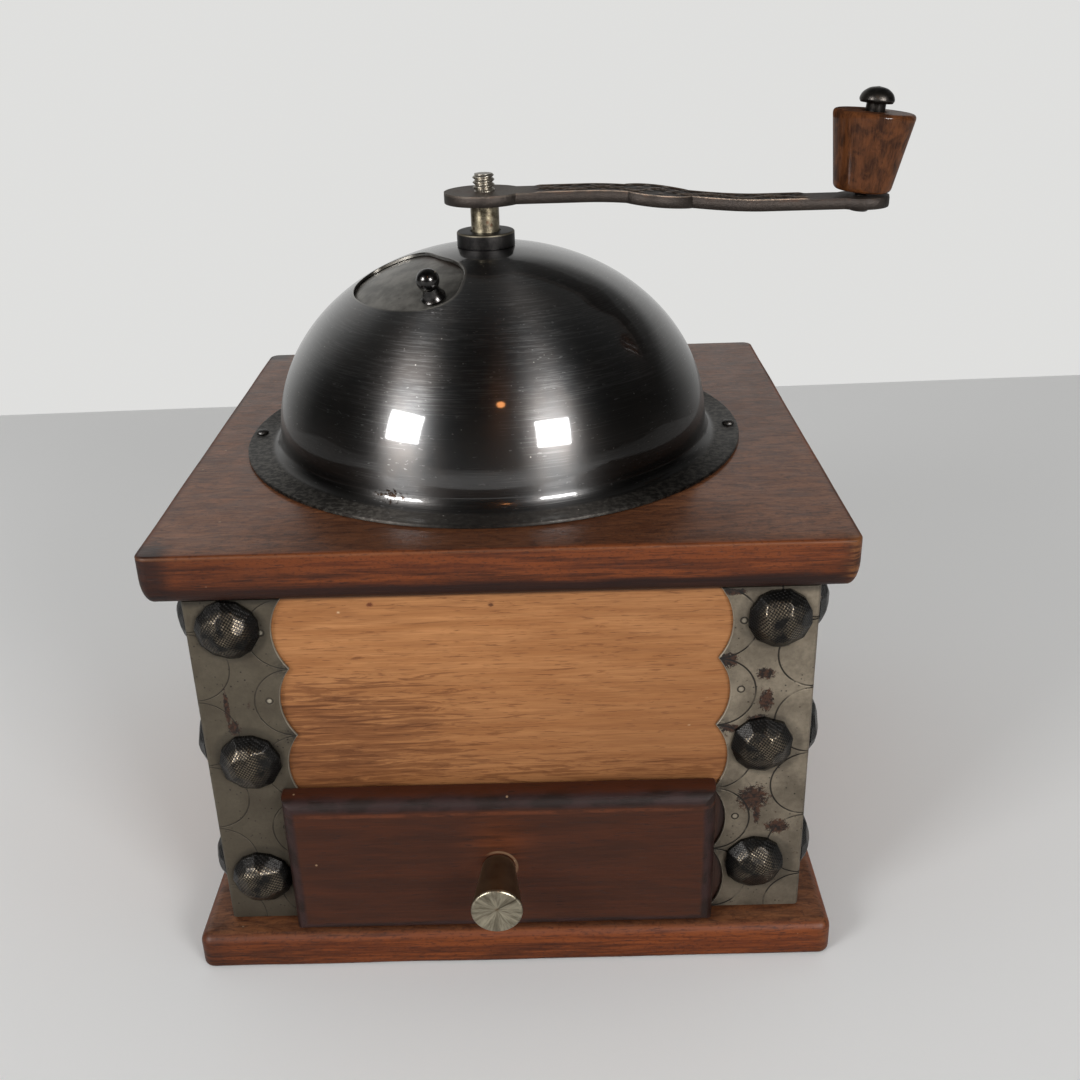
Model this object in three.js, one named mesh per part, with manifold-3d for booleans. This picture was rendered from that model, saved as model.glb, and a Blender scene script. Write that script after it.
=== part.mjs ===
// A box coffee mill turned by hand: a wooden box with a drawer, a domed metal hopper with a
// sliding hatch on its top, and a crank whose shaft carries the inner grinding cone.
// Millimetres, +Z up, origin under the middle of the base board, the drawer faces -Y.

import * as THREE from 'three';
import { mergeVertices } from 'three/addons/utils/BufferGeometryUtils.js';
import Module from 'manifold-3d';

const wasm = await Module();
wasm.setup();

// Clearances that several pieces share
const GLUE_LINE = 0.1;
const SEAT_GAP = 0.3;
const RUNNING_GAP = 0.3;
const OVERRUN = 2;
const WELD_DISTANCE = 1e-4;

// Base board, which stands out beyond the box
const BASE_SIDE_MARGIN = 8.85;
const BASE_END_MARGIN = 7.9;
const BASE_THICK = 10.3;
const BASE_EDGE_RADIUS = 3;

// Box walls
const BOX_WIDTH = 149.8;
const BOX_DEPTH = 153.7;
const BOX_HEIGHT = 97.7;
const SIDE_WALL_THICK = 13.75;
const END_WALL_THICK = 10;
const FRONT_PANEL_DROP = 59.1;

// Top board, which stands out beyond the box
const TOP_SIDE_MARGIN = 8.75;
const TOP_END_MARGIN = 5.55;
const TOP_THICK = 12.3;
const TOP_EDGE_RADIUS = 2.6;

// Corner straps, which end a little above the base board and below the top board
const STRAP_LEG = 23.75;
const STRAP_THICK = 0.8;
const STRAP_FOOT = 0.8;
const STRAP_HEAD = 1.4;
const STRAP_SCALLOPS = 5;
const SCALLOP_DEPTH = 3.2;

// Nails with faceted heads, each strap leg held by three
const NAIL_HEAD_RADIUS = 7.75;
const NAIL_HEAD_HEIGHT = 5.4;
const NAIL_SHANK_RADIUS = 1;
const NAIL_SHANK_LENGTH = 9;
const NAIL_TO_SCALLOP = 1.95;
const NAIL_FOOT_INSET = 14.6;
const NAIL_HEAD_INSET = 7.8;
const NAIL_FACETS = 10;
// The head from its rim to its crown, as shares of its radius and height
const NAIL_HEAD_SHARES = [[1, 0.22], [0.755, 0.66], [0.35, 0.95]];

// Dome hopper, set a little off the middle of the top board
const AXIS_X = -3;
const AXIS_Y = -2.1;
const DOME_RADIUS = 59.7;
const DOME_RISE = 48.8;
const DOME_SKIRT = 4.2;
const DOME_WALL = 0.9;
const DOME_FLANGE_WIDTH = 6.2;
const DOME_SEAT_RADIUS = 8.3;
const DOME_SCREW_INSET = 2.7;
const DOME_SCREW_AZIMUTHS = [180, -2];
const DOME_SCREW_HEAD_RADIUS = 1.7;
const DOME_SCREW_HEAD_HEIGHT = 0.9;
const DOME_SCREW_SHANK_RADIUS = 0.9;
const DOME_SCREW_LENGTH = 8;
const DOME_SCREW_HEAD_SHARES = [[1, 0], [0.8, 0.7]];

// Filling hole in the dome, an oval that bends round the shaft
const HOLE_AZIMUTH = -146.5;
const HOLE_HALF_ANGLE = 44;
const HOLE_RADIUS = 25.7;
const HOLE_HALF_BREADTH = 11.3;
const HOLE_SQUARENESS = 2.8;

// Hatch cover under the dome, and its knob
const HATCH_THICK = 0.8;
const HATCH_OVERLAP = 2.9;
const HATCH_SIDE_ANGLE = 4;
const HATCH_HUB_RADIUS = 11;
const HATCH_GAP = 0.4;
const HATCH_KNOB_AZIMUTH = -114.7;
const HATCH_KNOB_RADIUS = 30.1;
const HATCH_KNOB_FOOT_RADIUS = 3.2;
const HATCH_KNOB_FOOT_THICK = 0.3;
const HATCH_KNOB_NECK_RADIUS = 2;
const HATCH_KNOB_NECK_HEIGHT = 3.4;
const HATCH_KNOB_BALL_RADIUS = 2.95;
const HATCH_KNOB_RIVET_RADIUS = 0.9;

// Bush in the top of the dome
const BUSH_RADIUS = 7.75;
const BUSH_HEIGHT = 3.9;
const BUSH_CHAMFER = 0.3;
const BUSH_NECK_RADIUS = 5.7;
const BUSH_RIM_RADIUS = 8;
const BUSH_RIM_THICK = 1.5;

// Mill housing, a cast funnel that hangs in the top board by a flange inside the dome
const HOUSING_WALL = 2;
const HOUSING_FLANGE_INSET = 6.8;
const HOUSING_FLANGE_WIDTH = 11;
const HOUSING_CONE_DROP = 19;
const HOUSING_THROAT_DROP = 24;
const HOUSING_LIP = 1.5;

// Grinding ring and its bearing bar, one casting held in the housing's throat
const RING_RADIUS = 20.5;
const RING_HEIGHT = 20;
const RING_TOP_WALL = 2.7;
const RING_BOTTOM_WALL = 3.6;
const RING_TEETH = 12;
const RING_TOOTH_DEPTH = 0.9;
const BAR_WIDTH = 10;
const BAR_THICK = 6;
const BAR_RISE = 0.7;
const BOSS_RADIUS = 6.5;
const BOSS_DROP = 17;

// Grinding cone on the shaft
const CONE_TOP_RADIUS = 8;
const GRINDING_GAP = 0.6;
const CONE_HEIGHT = 18;
const CONE_LIFT = 2;
const CONE_TEETH = 9;
const CONE_TOOTH_DEPTH = 1.4;
const TOOTH_TWIST = 0.6;

// Shaft, whose seat for the arm stands above the bush
const SHAFT_RADIUS = 3.8;
const SHAFT_RISE = 7.5;
const JOURNAL_RADIUS = 3.1;
const JOURNAL_LENGTH = 12.8;
const THREAD_RADIUS = 2.9;
const THREAD_ROOT_RADIUS = 2.3;
const THREAD_PITCH = 1.27;
const THREAD_TURNS = 3;
const THREAD_START_SHARE = 0.5;
const THREAD_END_SHARE = 0.25;
const FLAT_HALF_WIDTH = 2.2;

// Thrust ball and adjusting screw under the shaft
const BALL_RADIUS = 2.5;
const SCREW_HEAD_GAP = 1.4;
const SCREW_HEAD_RADIUS = 8;
const SCREW_HEAD_HEIGHT = 5;
const SCREW_KNURLS = 16;
const KNURL_DEPTH = 0.6;

// Crank arm, cast with an eye at the shaft, a medallion and an eye at the grip
const ARM_LENGTH = 99.7;
const ARM_THICK = 2.8;
const ARM_DROP = 3.8;
const ARM_BEND_START = 27;
const ARM_BEND_END = 74;
const HUB_RADIUS = 10.6;
const NECK_HALF_WIDTH = 6.3;
const MEDALLION_HALF_WIDTH = 9.4;
const MEDALLION_CENTRE = 46;
const MEDALLION_LENGTH = 15;
const ARM_TAIL_HALF_WIDTH = 5.4;
const ARM_EYE_RADIUS = 7.4;
// Where the arm's outline is stepped: degrees round its eyes, and shares of its straight runs
const HUB_ARC = [172, 42];
const EYE_ARC = [130, 8];
const EYE_STEPS = 8;
const ARM_NECK_SHARES = [0.13, 0.35, 0.57, 0.78];
const MEDALLION_SHARES = [-0.6, 0, 0.6];
const ARM_TAIL_SHARES = [0.2, 0.4, 0.6, 0.8, 1];

// Wooden grip on its leaning pin
const GRIP_TILT = 5.5;
const GRIP_FOOT_RADIUS = 7.4;
const GRIP_TOP_RADIUS = 10.75;
const GRIP_LENGTH = 20;
const GRIP_BEVEL = 0.8;
const GRIP_LIFT = 1.1;
const PIN_RADIUS = 2.5;
const PIN_TENON_RADIUS = 1.6;
const PIN_HOLE_GAP = 0.6;
const PIN_SHOULDER = 0.3;
const PIN_NECK = 2;
const PIN_HEAD_RADIUS = 4.6;
const PIN_HEAD_HEIGHT = 4;
const PIN_RIVET_RADIUS = 3.2;
const PIN_RIVET_HEIGHT = 1;
const PIN_RIVET_FACE_SHARE = 0.7;
const PIN_HEAD_SHARES = [[0.9, 0], [1, 0.22], [0.86, 0.6], [0.5, 0.9]];

// Drawer
const OPENING_TO_STRAP = 1.5;
const DRAWER_SIDE_OVERLAP = 4.4;
const DRAWER_TOP_OVERLAP = 3.9;
const DRAWER_FRONT_SHIFT = -2.65;
const DRAWER_LIP_THICK = 6.6;
const DRAWER_LIP_RADIUS = 3.4;
const DRAWER_TONGUE_THICK = 8;
const DRAWER_BACK_GAP = 9.8;
const DRAWER_WALL = 6;
const DRAWER_TOP_GAP = 4.3;
const DRAWER_FLOOR_THICK = 3;
const DRAWER_SIDE_GAP = 0.8;
const DRAWER_FLOOR_GAP = 0.4;
const GUIDE_HEIGHT = 9;
const GUIDE_BACK_GAP = 7.6;

// Drawer knob, turned from bar with its stud in one piece
const KNOB_FOOT_RADIUS = 4.2;
const KNOB_FACE_RADIUS = 6.4;
const KNOB_LENGTH = 16.4;
const KNOB_DIMPLE = 0.7;
const KNOB_EDGE = 0.4;
const KNOB_STUD_RADIUS = 1.6;
const KNOB_RISE = 20.9;
const KNOB_SHIFT = -3.3;

// How round shapes are stepped
const DOME_SEGMENTS = 48;
const DOME_STEPS = 8;
const ROUND_SEGMENTS = 28;
const SMALL_SEGMENTS = 14;
const PILOT_SEGMENTS = 8;
const EDGE_STEPS = 3;
const HOLE_POINTS = 32;

// Heights that several pieces meet at
const WALL_BOTTOM = BASE_THICK + GLUE_LINE;
const WALL_TOP = WALL_BOTTOM + BOX_HEIGHT;
const PANEL_BOTTOM = WALL_TOP - FRONT_PANEL_DROP;
const TOP_BOTTOM = WALL_TOP + GLUE_LINE;
const TOP_SURFACE = TOP_BOTTOM + TOP_THICK;
const STRAP_BOTTOM = BASE_THICK + STRAP_FOOT;
const STRAP_TOP = WALL_TOP - STRAP_HEAD;
const DOME_BASE = TOP_SURFACE + GLUE_LINE;
const DOME_CENTRE = DOME_BASE + DOME_SKIRT;
const DOME_SEAT = DOME_CENTRE + ellipseHeight(DOME_SEAT_RADIUS, DOME_RADIUS, DOME_RISE);
const HATCH_TOP = DOME_SEAT - DOME_WALL - RUNNING_GAP;
const BUSH_TOP = DOME_SEAT + GLUE_LINE + BUSH_HEIGHT;
const SHAFT_TOP = BUSH_TOP + SHAFT_RISE;
const HOUSING_TOP = TOP_SURFACE + SEAT_GAP + HOUSING_WALL;
const HOUSING_CONE_BOTTOM = HOUSING_TOP - HOUSING_CONE_DROP;
const HOUSING_BOTTOM = HOUSING_CONE_BOTTOM - HOUSING_THROAT_DROP;
const RING_BOTTOM = HOUSING_BOTTOM + HOUSING_WALL + SEAT_GAP;
const BAR_TOP = RING_BOTTOM + BAR_RISE;
const BAR_BOTTOM = BAR_TOP - BAR_THICK;
const BOSS_BOTTOM = BAR_BOTTOM - BOSS_DROP;
const CONE_BOTTOM = BAR_TOP + CONE_LIFT;
const SHAFT_BOTTOM = CONE_BOTTOM - JOURNAL_LENGTH;
const BALL_CENTRE = SHAFT_BOTTOM - RUNNING_GAP - BALL_RADIUS;
const SCREW_TIP = BALL_CENTRE - BALL_RADIUS - RUNNING_GAP;
const SCREW_HEAD_TOP = BOSS_BOTTOM - SCREW_HEAD_GAP;
const DRAWER_BOTTOM = BASE_THICK + DRAWER_FLOOR_GAP;
const DRAWER_FRONT_HEIGHT = PANEL_BOTTOM + DRAWER_TOP_OVERLAP - DRAWER_BOTTOM;
const KNOB_HEIGHT = DRAWER_BOTTOM + KNOB_RISE;

// Widths and radii that several pieces share
const STRAP_OUT = GLUE_LINE + STRAP_THICK;
const SIDE_WALL_INSIDE = BOX_WIDTH / 2 - SIDE_WALL_THICK;
const BACK_WALL_INSIDE = BOX_DEPTH / 2 - END_WALL_THICK;
const NAIL_INSET = STRAP_LEG - SCALLOP_DEPTH - NAIL_TO_SCALLOP - NAIL_HEAD_RADIUS;
const OPENING_HALF_WIDTH = BOX_WIDTH / 2 + STRAP_OUT - STRAP_LEG - OPENING_TO_STRAP;
const DRAWER_HALF_WIDTH = OPENING_HALF_WIDTH - DRAWER_SIDE_GAP;
const DRAWER_FRONT_WIDTH = 2 * (OPENING_HALF_WIDTH + DRAWER_SIDE_OVERLAP);
const DRAWER_LIP_BACK = -(BOX_DEPTH / 2 + STRAP_OUT + SEAT_GAP);
const FLANGE_INSIDE = DOME_RADIUS + DOME_SKIRT - DOME_WALL;
const DOME_FLANGE_RADIUS = FLANGE_INSIDE + DOME_FLANGE_WIDTH;
const DOME_SCREW_CIRCLE = DOME_FLANGE_RADIUS - DOME_SCREW_INSET;
const HATCH_REACH = HOLE_RADIUS + HOLE_HALF_BREADTH + HATCH_OVERLAP;
const HATCH_HALF_ANGLE = HOLE_HALF_ANGLE + HATCH_SIDE_ANGLE;
const HOUSING_FLANGE_RADIUS = DOME_RADIUS - DOME_WALL - HOUSING_FLANGE_INSET;
const HOUSING_MOUTH_RADIUS = HOUSING_FLANGE_RADIUS - HOUSING_FLANGE_WIDTH;
const THROAT_RADIUS = RING_RADIUS + SEAT_GAP;
const RING_TOP_BORE = RING_RADIUS - RING_TOP_WALL;
const RING_BOTTOM_BORE = RING_RADIUS - RING_BOTTOM_WALL;
const CONE_BOTTOM_RADIUS = RING_BOTTOM_BORE - GRINDING_GAP;
const SHAFT_BORE_RADIUS = SHAFT_RADIUS + RUNNING_GAP;
const BOSS_BORE_RADIUS = JOURNAL_RADIUS + RUNNING_GAP;

const rad = THREE.MathUtils.degToRad;
const deg = THREE.MathUtils.radToDeg;

function ellipseHeight(radius, halfWidth, rise) {
  return rise * Math.sqrt(1 - (radius / halfWidth) ** 2);
}

// Joins equal corners and drops collapsed triangles, so a closed surface is closed in its numbers.
function welded(geometry) {
  const bare = geometry.index ? geometry.toNonIndexed() : geometry.clone();
  bare.deleteAttribute('normal');
  bare.deleteAttribute('uv');
  const merged = mergeVertices(bare, WELD_DISTANCE);
  const corners = merged.index.array;
  const kept = [];
  for (let i = 0; i < corners.length; i += 3) {
    const [a, b, c] = [corners[i], corners[i + 1], corners[i + 2]];
    if (a !== b && b !== c && c !== a) kept.push(a, b, c);
  }
  merged.setIndex(kept);
  return merged;
}

function solidOf(geometry) {
  const closed = welded(geometry);
  return new wasm.Manifold(new wasm.Mesh({
    numProp: 3,
    vertProperties: new Float32Array(closed.attributes.position.array),
    triVerts: new Uint32Array(closed.index.array),
  }));
}

function geometryOf(solid) {
  const mesh = solid.getMesh();
  const geometry = new THREE.BufferGeometry();
  geometry.setAttribute('position', new THREE.BufferAttribute(mesh.vertProperties, mesh.numProp));
  geometry.setIndex(new THREE.BufferAttribute(mesh.triVerts, 1));
  return geometry;
}

function cut(geometry, cutters) {
  const solid = cutters.reduce((rest, cutter) => rest.subtract(solidOf(cutter)), solidOf(geometry));
  return geometryOf(solid);
}

function join(geometries) {
  const [first, ...others] = geometries.map(solidOf);
  return geometryOf(others.reduce((whole, other) => whole.add(other), first));
}

function common(first, second) {
  return geometryOf(solidOf(first).intersect(solidOf(second)));
}

function finish(color, roughness, metalness) {
  return new THREE.MeshStandardMaterial({ color, roughness, metalness });
}

function piece(name, geometry, material) {
  const mesh = new THREE.Mesh(geometry, material.clone());
  mesh.geometry.computeVertexNormals();
  mesh.name = name;
  return mesh;
}

// A block between two corners, given as [low, high] along each axis.
function block([x0, x1], [y0, y1], [z0, z1]) {
  const geometry = new THREE.BoxGeometry(x1 - x0, y1 - y0, z1 - z0);
  return geometry.translate((x0 + x1) / 2, (y0 + y1) / 2, (z0 + z1) / 2);
}

// A flat outline of [x, y] points raised by a height.
function prism(points, height) {
  const outline = new THREE.Shape(points.map(([x, y]) => new THREE.Vector2(x, y)));
  return new THREE.ExtrudeGeometry(outline, { depth: height, bevelEnabled: false });
}

// A board lying flat, its underside at zero and all its arrises rounded.
function roundedBoard(width, depth, thick, edge) {
  const [x, y] = [width / 2, depth / 2];
  const corners = [[-x, -y], [x, -y], [x, y], [-x, y]].map(([a, b]) => new THREE.Vector2(a, b));
  return new THREE.ExtrudeGeometry(new THREE.Shape(corners), {
    depth: thick - 2 * edge,
    bevelThickness: edge,
    bevelSize: edge,
    bevelOffset: -edge,
    bevelSegments: EDGE_STEPS,
  }).translate(0, 0, edge);
}

// A closed profile of [radius, height] points turned about the Z axis.
function turned(profile, segments) {
  const next = (i) => profile[(i + 1) % profile.length];
  const area = profile.reduce((sum, [r, z], i) => sum + r * next(i)[1] - next(i)[0] * z, 0);
  const ordered = area > 0 ? profile : [...profile].reverse();
  const points = [...ordered, ordered[0]].map(([r, z]) => new THREE.Vector2(r, z));
  return new THREE.LatheGeometry(points, segments).rotateX(Math.PI / 2);
}

// A plain pin or cutter along Z between two heights.
function rod(radius, z0, z1, segments) {
  return turned([[0, z0], [radius, z0], [radius, z1], [0, z1]], segments);
}

// Points of an arc, angles in degrees, both ends included.
function arc(x, y, radius, from, to, steps) {
  return Array.from({ length: steps + 1 }, (_, i) => {
    const angle = rad(from + ((to - from) * i) / steps);
    return [x + radius * Math.cos(angle), y + radius * Math.sin(angle)];
  });
}

// A point in plan at a distance and an azimuth from the mill's axis.
function onCircle(radius, azimuth) {
  return [AXIS_X + radius * Math.cos(rad(azimuth)), AXIS_Y + radius * Math.sin(rad(azimuth))];
}

const stainedWood = finish(0x73422a, 0.55, 0);
const darkWood = finish(0x4b281a, 0.5, 0);
const paleWood = finish(0xb4824f, 0.6, 0);
const innerWood = finish(0x9a7048, 0.75, 0);
const strapSteel = finish(0x6c6a60, 0.5, 0.85);
const nailIron = finish(0x262422, 0.45, 0.7);
const domeSteel = finish(0x2e2a28, 0.3, 0.95);
const blackSteel = finish(0x2b2a2a, 0.5, 0.8);
const castIron = finish(0x3a3330, 0.6, 0.8);
const brightSteel = finish(0xa29a86, 0.35, 0.95);

// Box of boards: base, two long sides, front above the drawer opening, back, and two stiles
function baseBoard() {
  const width = BOX_WIDTH + 2 * BASE_SIDE_MARGIN;
  const depth = BOX_DEPTH + 2 * BASE_END_MARGIN;
  const board = roundedBoard(width, depth, BASE_THICK, BASE_EDGE_RADIUS);
  return piece('base_board', board, stainedWood);
}

function topBoard() {
  const width = BOX_WIDTH + 2 * TOP_SIDE_MARGIN;
  const depth = BOX_DEPTH + 2 * TOP_END_MARGIN;
  const board = roundedBoard(width, depth, TOP_THICK, TOP_EDGE_RADIUS);
  board.translate(0, 0, TOP_BOTTOM);
  const throat = HOUSING_MOUTH_RADIUS + HOUSING_WALL + SEAT_GAP;
  const well = rod(throat, TOP_BOTTOM - OVERRUN, TOP_SURFACE + OVERRUN, DOME_SEGMENTS);
  well.translate(AXIS_X, AXIS_Y, 0);
  const pilots = DOME_SCREW_AZIMUTHS.map((azimuth) => {
    const bottom = TOP_SURFACE - DOME_SCREW_LENGTH;
    const hole = rod(DOME_SCREW_SHANK_RADIUS + SEAT_GAP, bottom, TOP_SURFACE + OVERRUN, PILOT_SEGMENTS);
    return hole.translate(...onCircle(DOME_SCREW_CIRCLE, azimuth), 0);
  });
  return piece('top_board', cut(board, [well, ...pilots]), stainedWood);
}

function boxWalls(nails) {
  const [x, y] = [BOX_WIDTH / 2, BOX_DEPTH / 2];
  const inner = SIDE_WALL_INSIDE - GLUE_LINE;
  const tall = [WALL_BOTTOM, WALL_TOP];
  const stileTop = PANEL_BOTTOM - GLUE_LINE;
  const sides = [[-1, 'left'], [1, 'right']].flatMap(([side, word]) => {
    const across = [side * x, side * SIDE_WALL_INSIDE].sort((a, b) => a - b);
    const pilots = nails.filter((nail) => nail.side === side).map(nailPilot);
    const wall = cut(block(across, [-y, y], tall), pilots);
    const stileAcross = [side * inner, side * OPENING_HALF_WIDTH].sort((a, b) => a - b);
    const stile = block(stileAcross, [-y, -y + END_WALL_THICK], [WALL_BOTTOM, stileTop]);
    return [piece(`${word}_wall`, wall, paleWood), piece(`${word}_stile`, stile, darkWood)];
  });
  const front = block([-inner, inner], [-y, -y + END_WALL_THICK], [PANEL_BOTTOM, WALL_TOP]);
  const back = block([-inner, inner], [BACK_WALL_INSIDE, y], tall);
  return [...sides, piece('front_panel', front, paleWood), piece('back_wall', back, paleWood)];
}

// Strips glued to the base board, one each side, that the drawer runs between
function drawerGuides() {
  const outer = SIDE_WALL_INSIDE - GLUE_LINE;
  const along = [-BACK_WALL_INSIDE + GLUE_LINE, BACK_WALL_INSIDE - GUIDE_BACK_GAP];
  return [[-1, 'left'], [1, 'right']].map(([side, word]) => {
    const across = [side * (DRAWER_HALF_WIDTH + RUNNING_GAP), side * outer].sort((a, b) => a - b);
    const strip = block(across, along, [WALL_BOTTOM, WALL_BOTTOM + GUIDE_HEIGHT]);
    return piece(`${word}_drawer_guide`, strip, innerWood);
  });
}

// How far the front nails were driven off their marks, sideways and up, as shares of a head's width
const frontStrayShares = {
  left: [[0.06, -0.045], [-0.016, -0.065], [0.03, 0.02]],
  right: [[-0.106, 0.04], [-0.087, 0.05], [0.087, -0.013]],
};

// The box's corners: which side, which end, and the corner's name
const boxCorners = [
  [-1, -1, 'front_left'],
  [1, -1, 'front_right'],
  [-1, 1, 'back_left'],
  [1, 1, 'back_right'],
];

// Every nail's name, its head's seat and the way its head points
function nailPlaces() {
  const [x, y] = [BOX_WIDTH / 2 + STRAP_OUT, BOX_DEPTH / 2 + STRAP_OUT];
  const heights = ['low', 'mid', 'high'];
  const lowest = STRAP_BOTTOM + NAIL_FOOT_INSET;
  const spacing = (STRAP_TOP - NAIL_HEAD_INSET - lowest) / (heights.length - 1);
  return boxCorners.flatMap(([side, end, corner]) => heights.flatMap((word, level) => {
    const z = lowest + level * spacing;
    const strays = frontStrayShares[side < 0 ? 'left' : 'right'][level];
    const [out, up] = end < 0 ? strays.map((share) => share * 2 * NAIL_HEAD_RADIUS) : [0, 0];
    const onEnd = [side * (x - NAIL_INSET + out), end * y, z + up];
    const onSide = [side * x, end * (y - NAIL_INSET), z];
    return [
      { name: `nail_${corner}_end_${word}`, side, corner, at: onEnd, way: [0, end, 0] },
      { name: `nail_${corner}_side_${word}`, side, corner, at: onSide, way: [side, 0, 0] },
    ];
  }));
}

function placedAlong(geometry, at, way) {
  const upright = new THREE.Vector3(0, 0, 1);
  const turn = new THREE.Quaternion().setFromUnitVectors(upright, new THREE.Vector3(...way));
  return geometry.applyQuaternion(turn).translate(...at);
}

// The hole that a nail's shank makes in a strap and in the wood behind it
function nailPilot(nail) {
  const depth = NAIL_SHANK_LENGTH + SEAT_GAP;
  const hole = rod(NAIL_SHANK_RADIUS + SEAT_GAP, -depth, OVERRUN, PILOT_SEGMENTS);
  return placedAlong(hole, nail.at, nail.way);
}

// A wrought head in flat facets on a round shank
function nailPiece(nail) {
  const profile = [
    [0, NAIL_HEAD_HEIGHT],
    [0, -NAIL_SHANK_LENGTH],
    [NAIL_SHANK_RADIUS, -NAIL_SHANK_LENGTH + NAIL_SHANK_RADIUS],
    [NAIL_SHANK_RADIUS, GLUE_LINE],
    [NAIL_HEAD_RADIUS, GLUE_LINE],
    ...NAIL_HEAD_SHARES.map(([out, up]) => [NAIL_HEAD_RADIUS * out, NAIL_HEAD_HEIGHT * up]),
  ];
  return piece(nail.name, placedAlong(turned(profile, NAIL_FACETS), nail.at, nail.way), nailIron);
}

// One leg of a strap: [distance from the fold, height] points, its free edge in hollow scallops
function strapLeg() {
  const pitch = (STRAP_TOP - STRAP_BOTTOM) / STRAP_SCALLOPS;
  const radius = pitch ** 2 / (8 * SCALLOP_DEPTH) + SCALLOP_DEPTH / 2;
  const reach = deg(Math.asin(pitch / 2 / radius));
  const edge = Array.from({ length: STRAP_SCALLOPS }, (_, i) => {
    const middle = STRAP_BOTTOM + (i + 0.5) * pitch;
    const centre = STRAP_LEG - SCALLOP_DEPTH + radius;
    return arc(centre, middle, radius, 180 + reach, 180 - reach, 2 * EDGE_STEPS).slice(0, -1);
  }).flat();
  return prism([[0, STRAP_BOTTOM], ...edge, [STRAP_LEG, STRAP_TOP], [0, STRAP_TOP]], STRAP_THICK);
}

// Lays a flat shape in the room: where its X, its Y and its thickness point, and where its origin goes.
function laid(geometry, along, up, inward, at) {
  const ways = [along, up, inward].map((way) => new THREE.Vector3(...way));
  const turn = new THREE.Matrix4().makeBasis(...ways);
  const shape = welded(geometry).applyMatrix4(turn).translate(...at);
  if (turn.determinant() < 0) shape.setIndex([...shape.index.array].reverse());
  return shape;
}

// Sheet angle folded round one corner of the box, both legs alike
function cornerStrap(side, end, corner, nails) {
  const fold = [side * (BOX_WIDTH / 2 + STRAP_OUT), end * (BOX_DEPTH / 2 + STRAP_OUT), 0];
  const endLeg = laid(strapLeg(), [-side, 0, 0], [0, 0, 1], [0, -end, 0], fold);
  const sideLeg = laid(strapLeg(), [0, -end, 0], [0, 0, 1], [-side, 0, 0], fold);
  const pilots = nails.filter((nail) => nail.corner === corner).map(nailPilot);
  return piece(`corner_strap_${corner}`, cut(join([endLeg, sideLeg]), pilots), strapSteel);
}

// Spun dome with its flange in one piece, and the filling hole cut through it
function domePath(offset) {
  const [a, b] = [DOME_RADIUS - offset, DOME_RISE - offset];
  const start = Math.asin(DOME_SEAT_RADIUS / a);
  const crown = Array.from({ length: DOME_STEPS + 1 }, (_, i) => {
    const angle = start + ((Math.PI / 2 - start) * i) / DOME_STEPS;
    return [a * Math.sin(angle), DOME_CENTRE + b * Math.cos(angle)];
  });
  const fillet = DOME_SKIRT - DOME_WALL + offset;
  const foot = arc(FLANGE_INSIDE, DOME_CENTRE, fillet, 180, 270, EDGE_STEPS).slice(1);
  return [...crown, ...foot];
}

function holeOutline() {
  return Array.from({ length: HOLE_POINTS }, (_, i) => {
    const angle = (2 * Math.PI * i) / HOLE_POINTS;
    const power = (value) => Math.sign(value) * Math.abs(value) ** (2 / HOLE_SQUARENESS);
    const azimuth = HOLE_AZIMUTH + HOLE_HALF_ANGLE * power(Math.cos(angle));
    return onCircle(HOLE_RADIUS + HOLE_HALF_BREADTH * power(Math.sin(angle)), azimuth);
  });
}

function hopperDome() {
  const neck = BUSH_NECK_RADIUS + SEAT_GAP;
  const shell = turned([
    [neck, DOME_SEAT],
    ...domePath(0),
    [DOME_FLANGE_RADIUS, DOME_BASE + DOME_WALL],
    [DOME_FLANGE_RADIUS, DOME_BASE],
    ...domePath(DOME_WALL).reverse(),
    [neck, DOME_SEAT - DOME_WALL],
  ], DOME_SEGMENTS).translate(AXIS_X, AXIS_Y, 0);
  const hole = prism(holeOutline(), DOME_RISE).translate(0, 0, DOME_CENTRE + DOME_SKIRT);
  const screwHoles = DOME_SCREW_AZIMUTHS.map((azimuth) => {
    const bore = DOME_SCREW_SHANK_RADIUS + SEAT_GAP;
    const drill = rod(bore, DOME_BASE - OVERRUN, DOME_BASE + OVERRUN, PILOT_SEGMENTS);
    return drill.translate(...onCircle(DOME_SCREW_CIRCLE, azimuth), 0);
  });
  return piece('hopper_dome', cut(shell, [hole, ...screwHoles]), domeSteel);
}

function domeScrews() {
  const [head, foot] = [DOME_BASE + DOME_WALL + GLUE_LINE, DOME_BASE + DOME_WALL - DOME_SCREW_LENGTH];
  return DOME_SCREW_AZIMUTHS.map((azimuth, i) => {
    const screw = turned([
      [0, foot],
      [DOME_SCREW_SHANK_RADIUS, foot + DOME_SCREW_SHANK_RADIUS],
      [DOME_SCREW_SHANK_RADIUS, head],
      ...DOME_SCREW_HEAD_SHARES.map(([out, up]) => [
        DOME_SCREW_HEAD_RADIUS * out,
        head + DOME_SCREW_HEAD_HEIGHT * up,
      ]),
      [0, head + DOME_SCREW_HEAD_HEIGHT],
    ], PILOT_SEGMENTS);
    screw.translate(...onCircle(DOME_SCREW_CIRCLE, azimuth), 0);
    return piece(`dome_screw_${i + 1}`, screw, blackSteel);
  });
}

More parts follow.
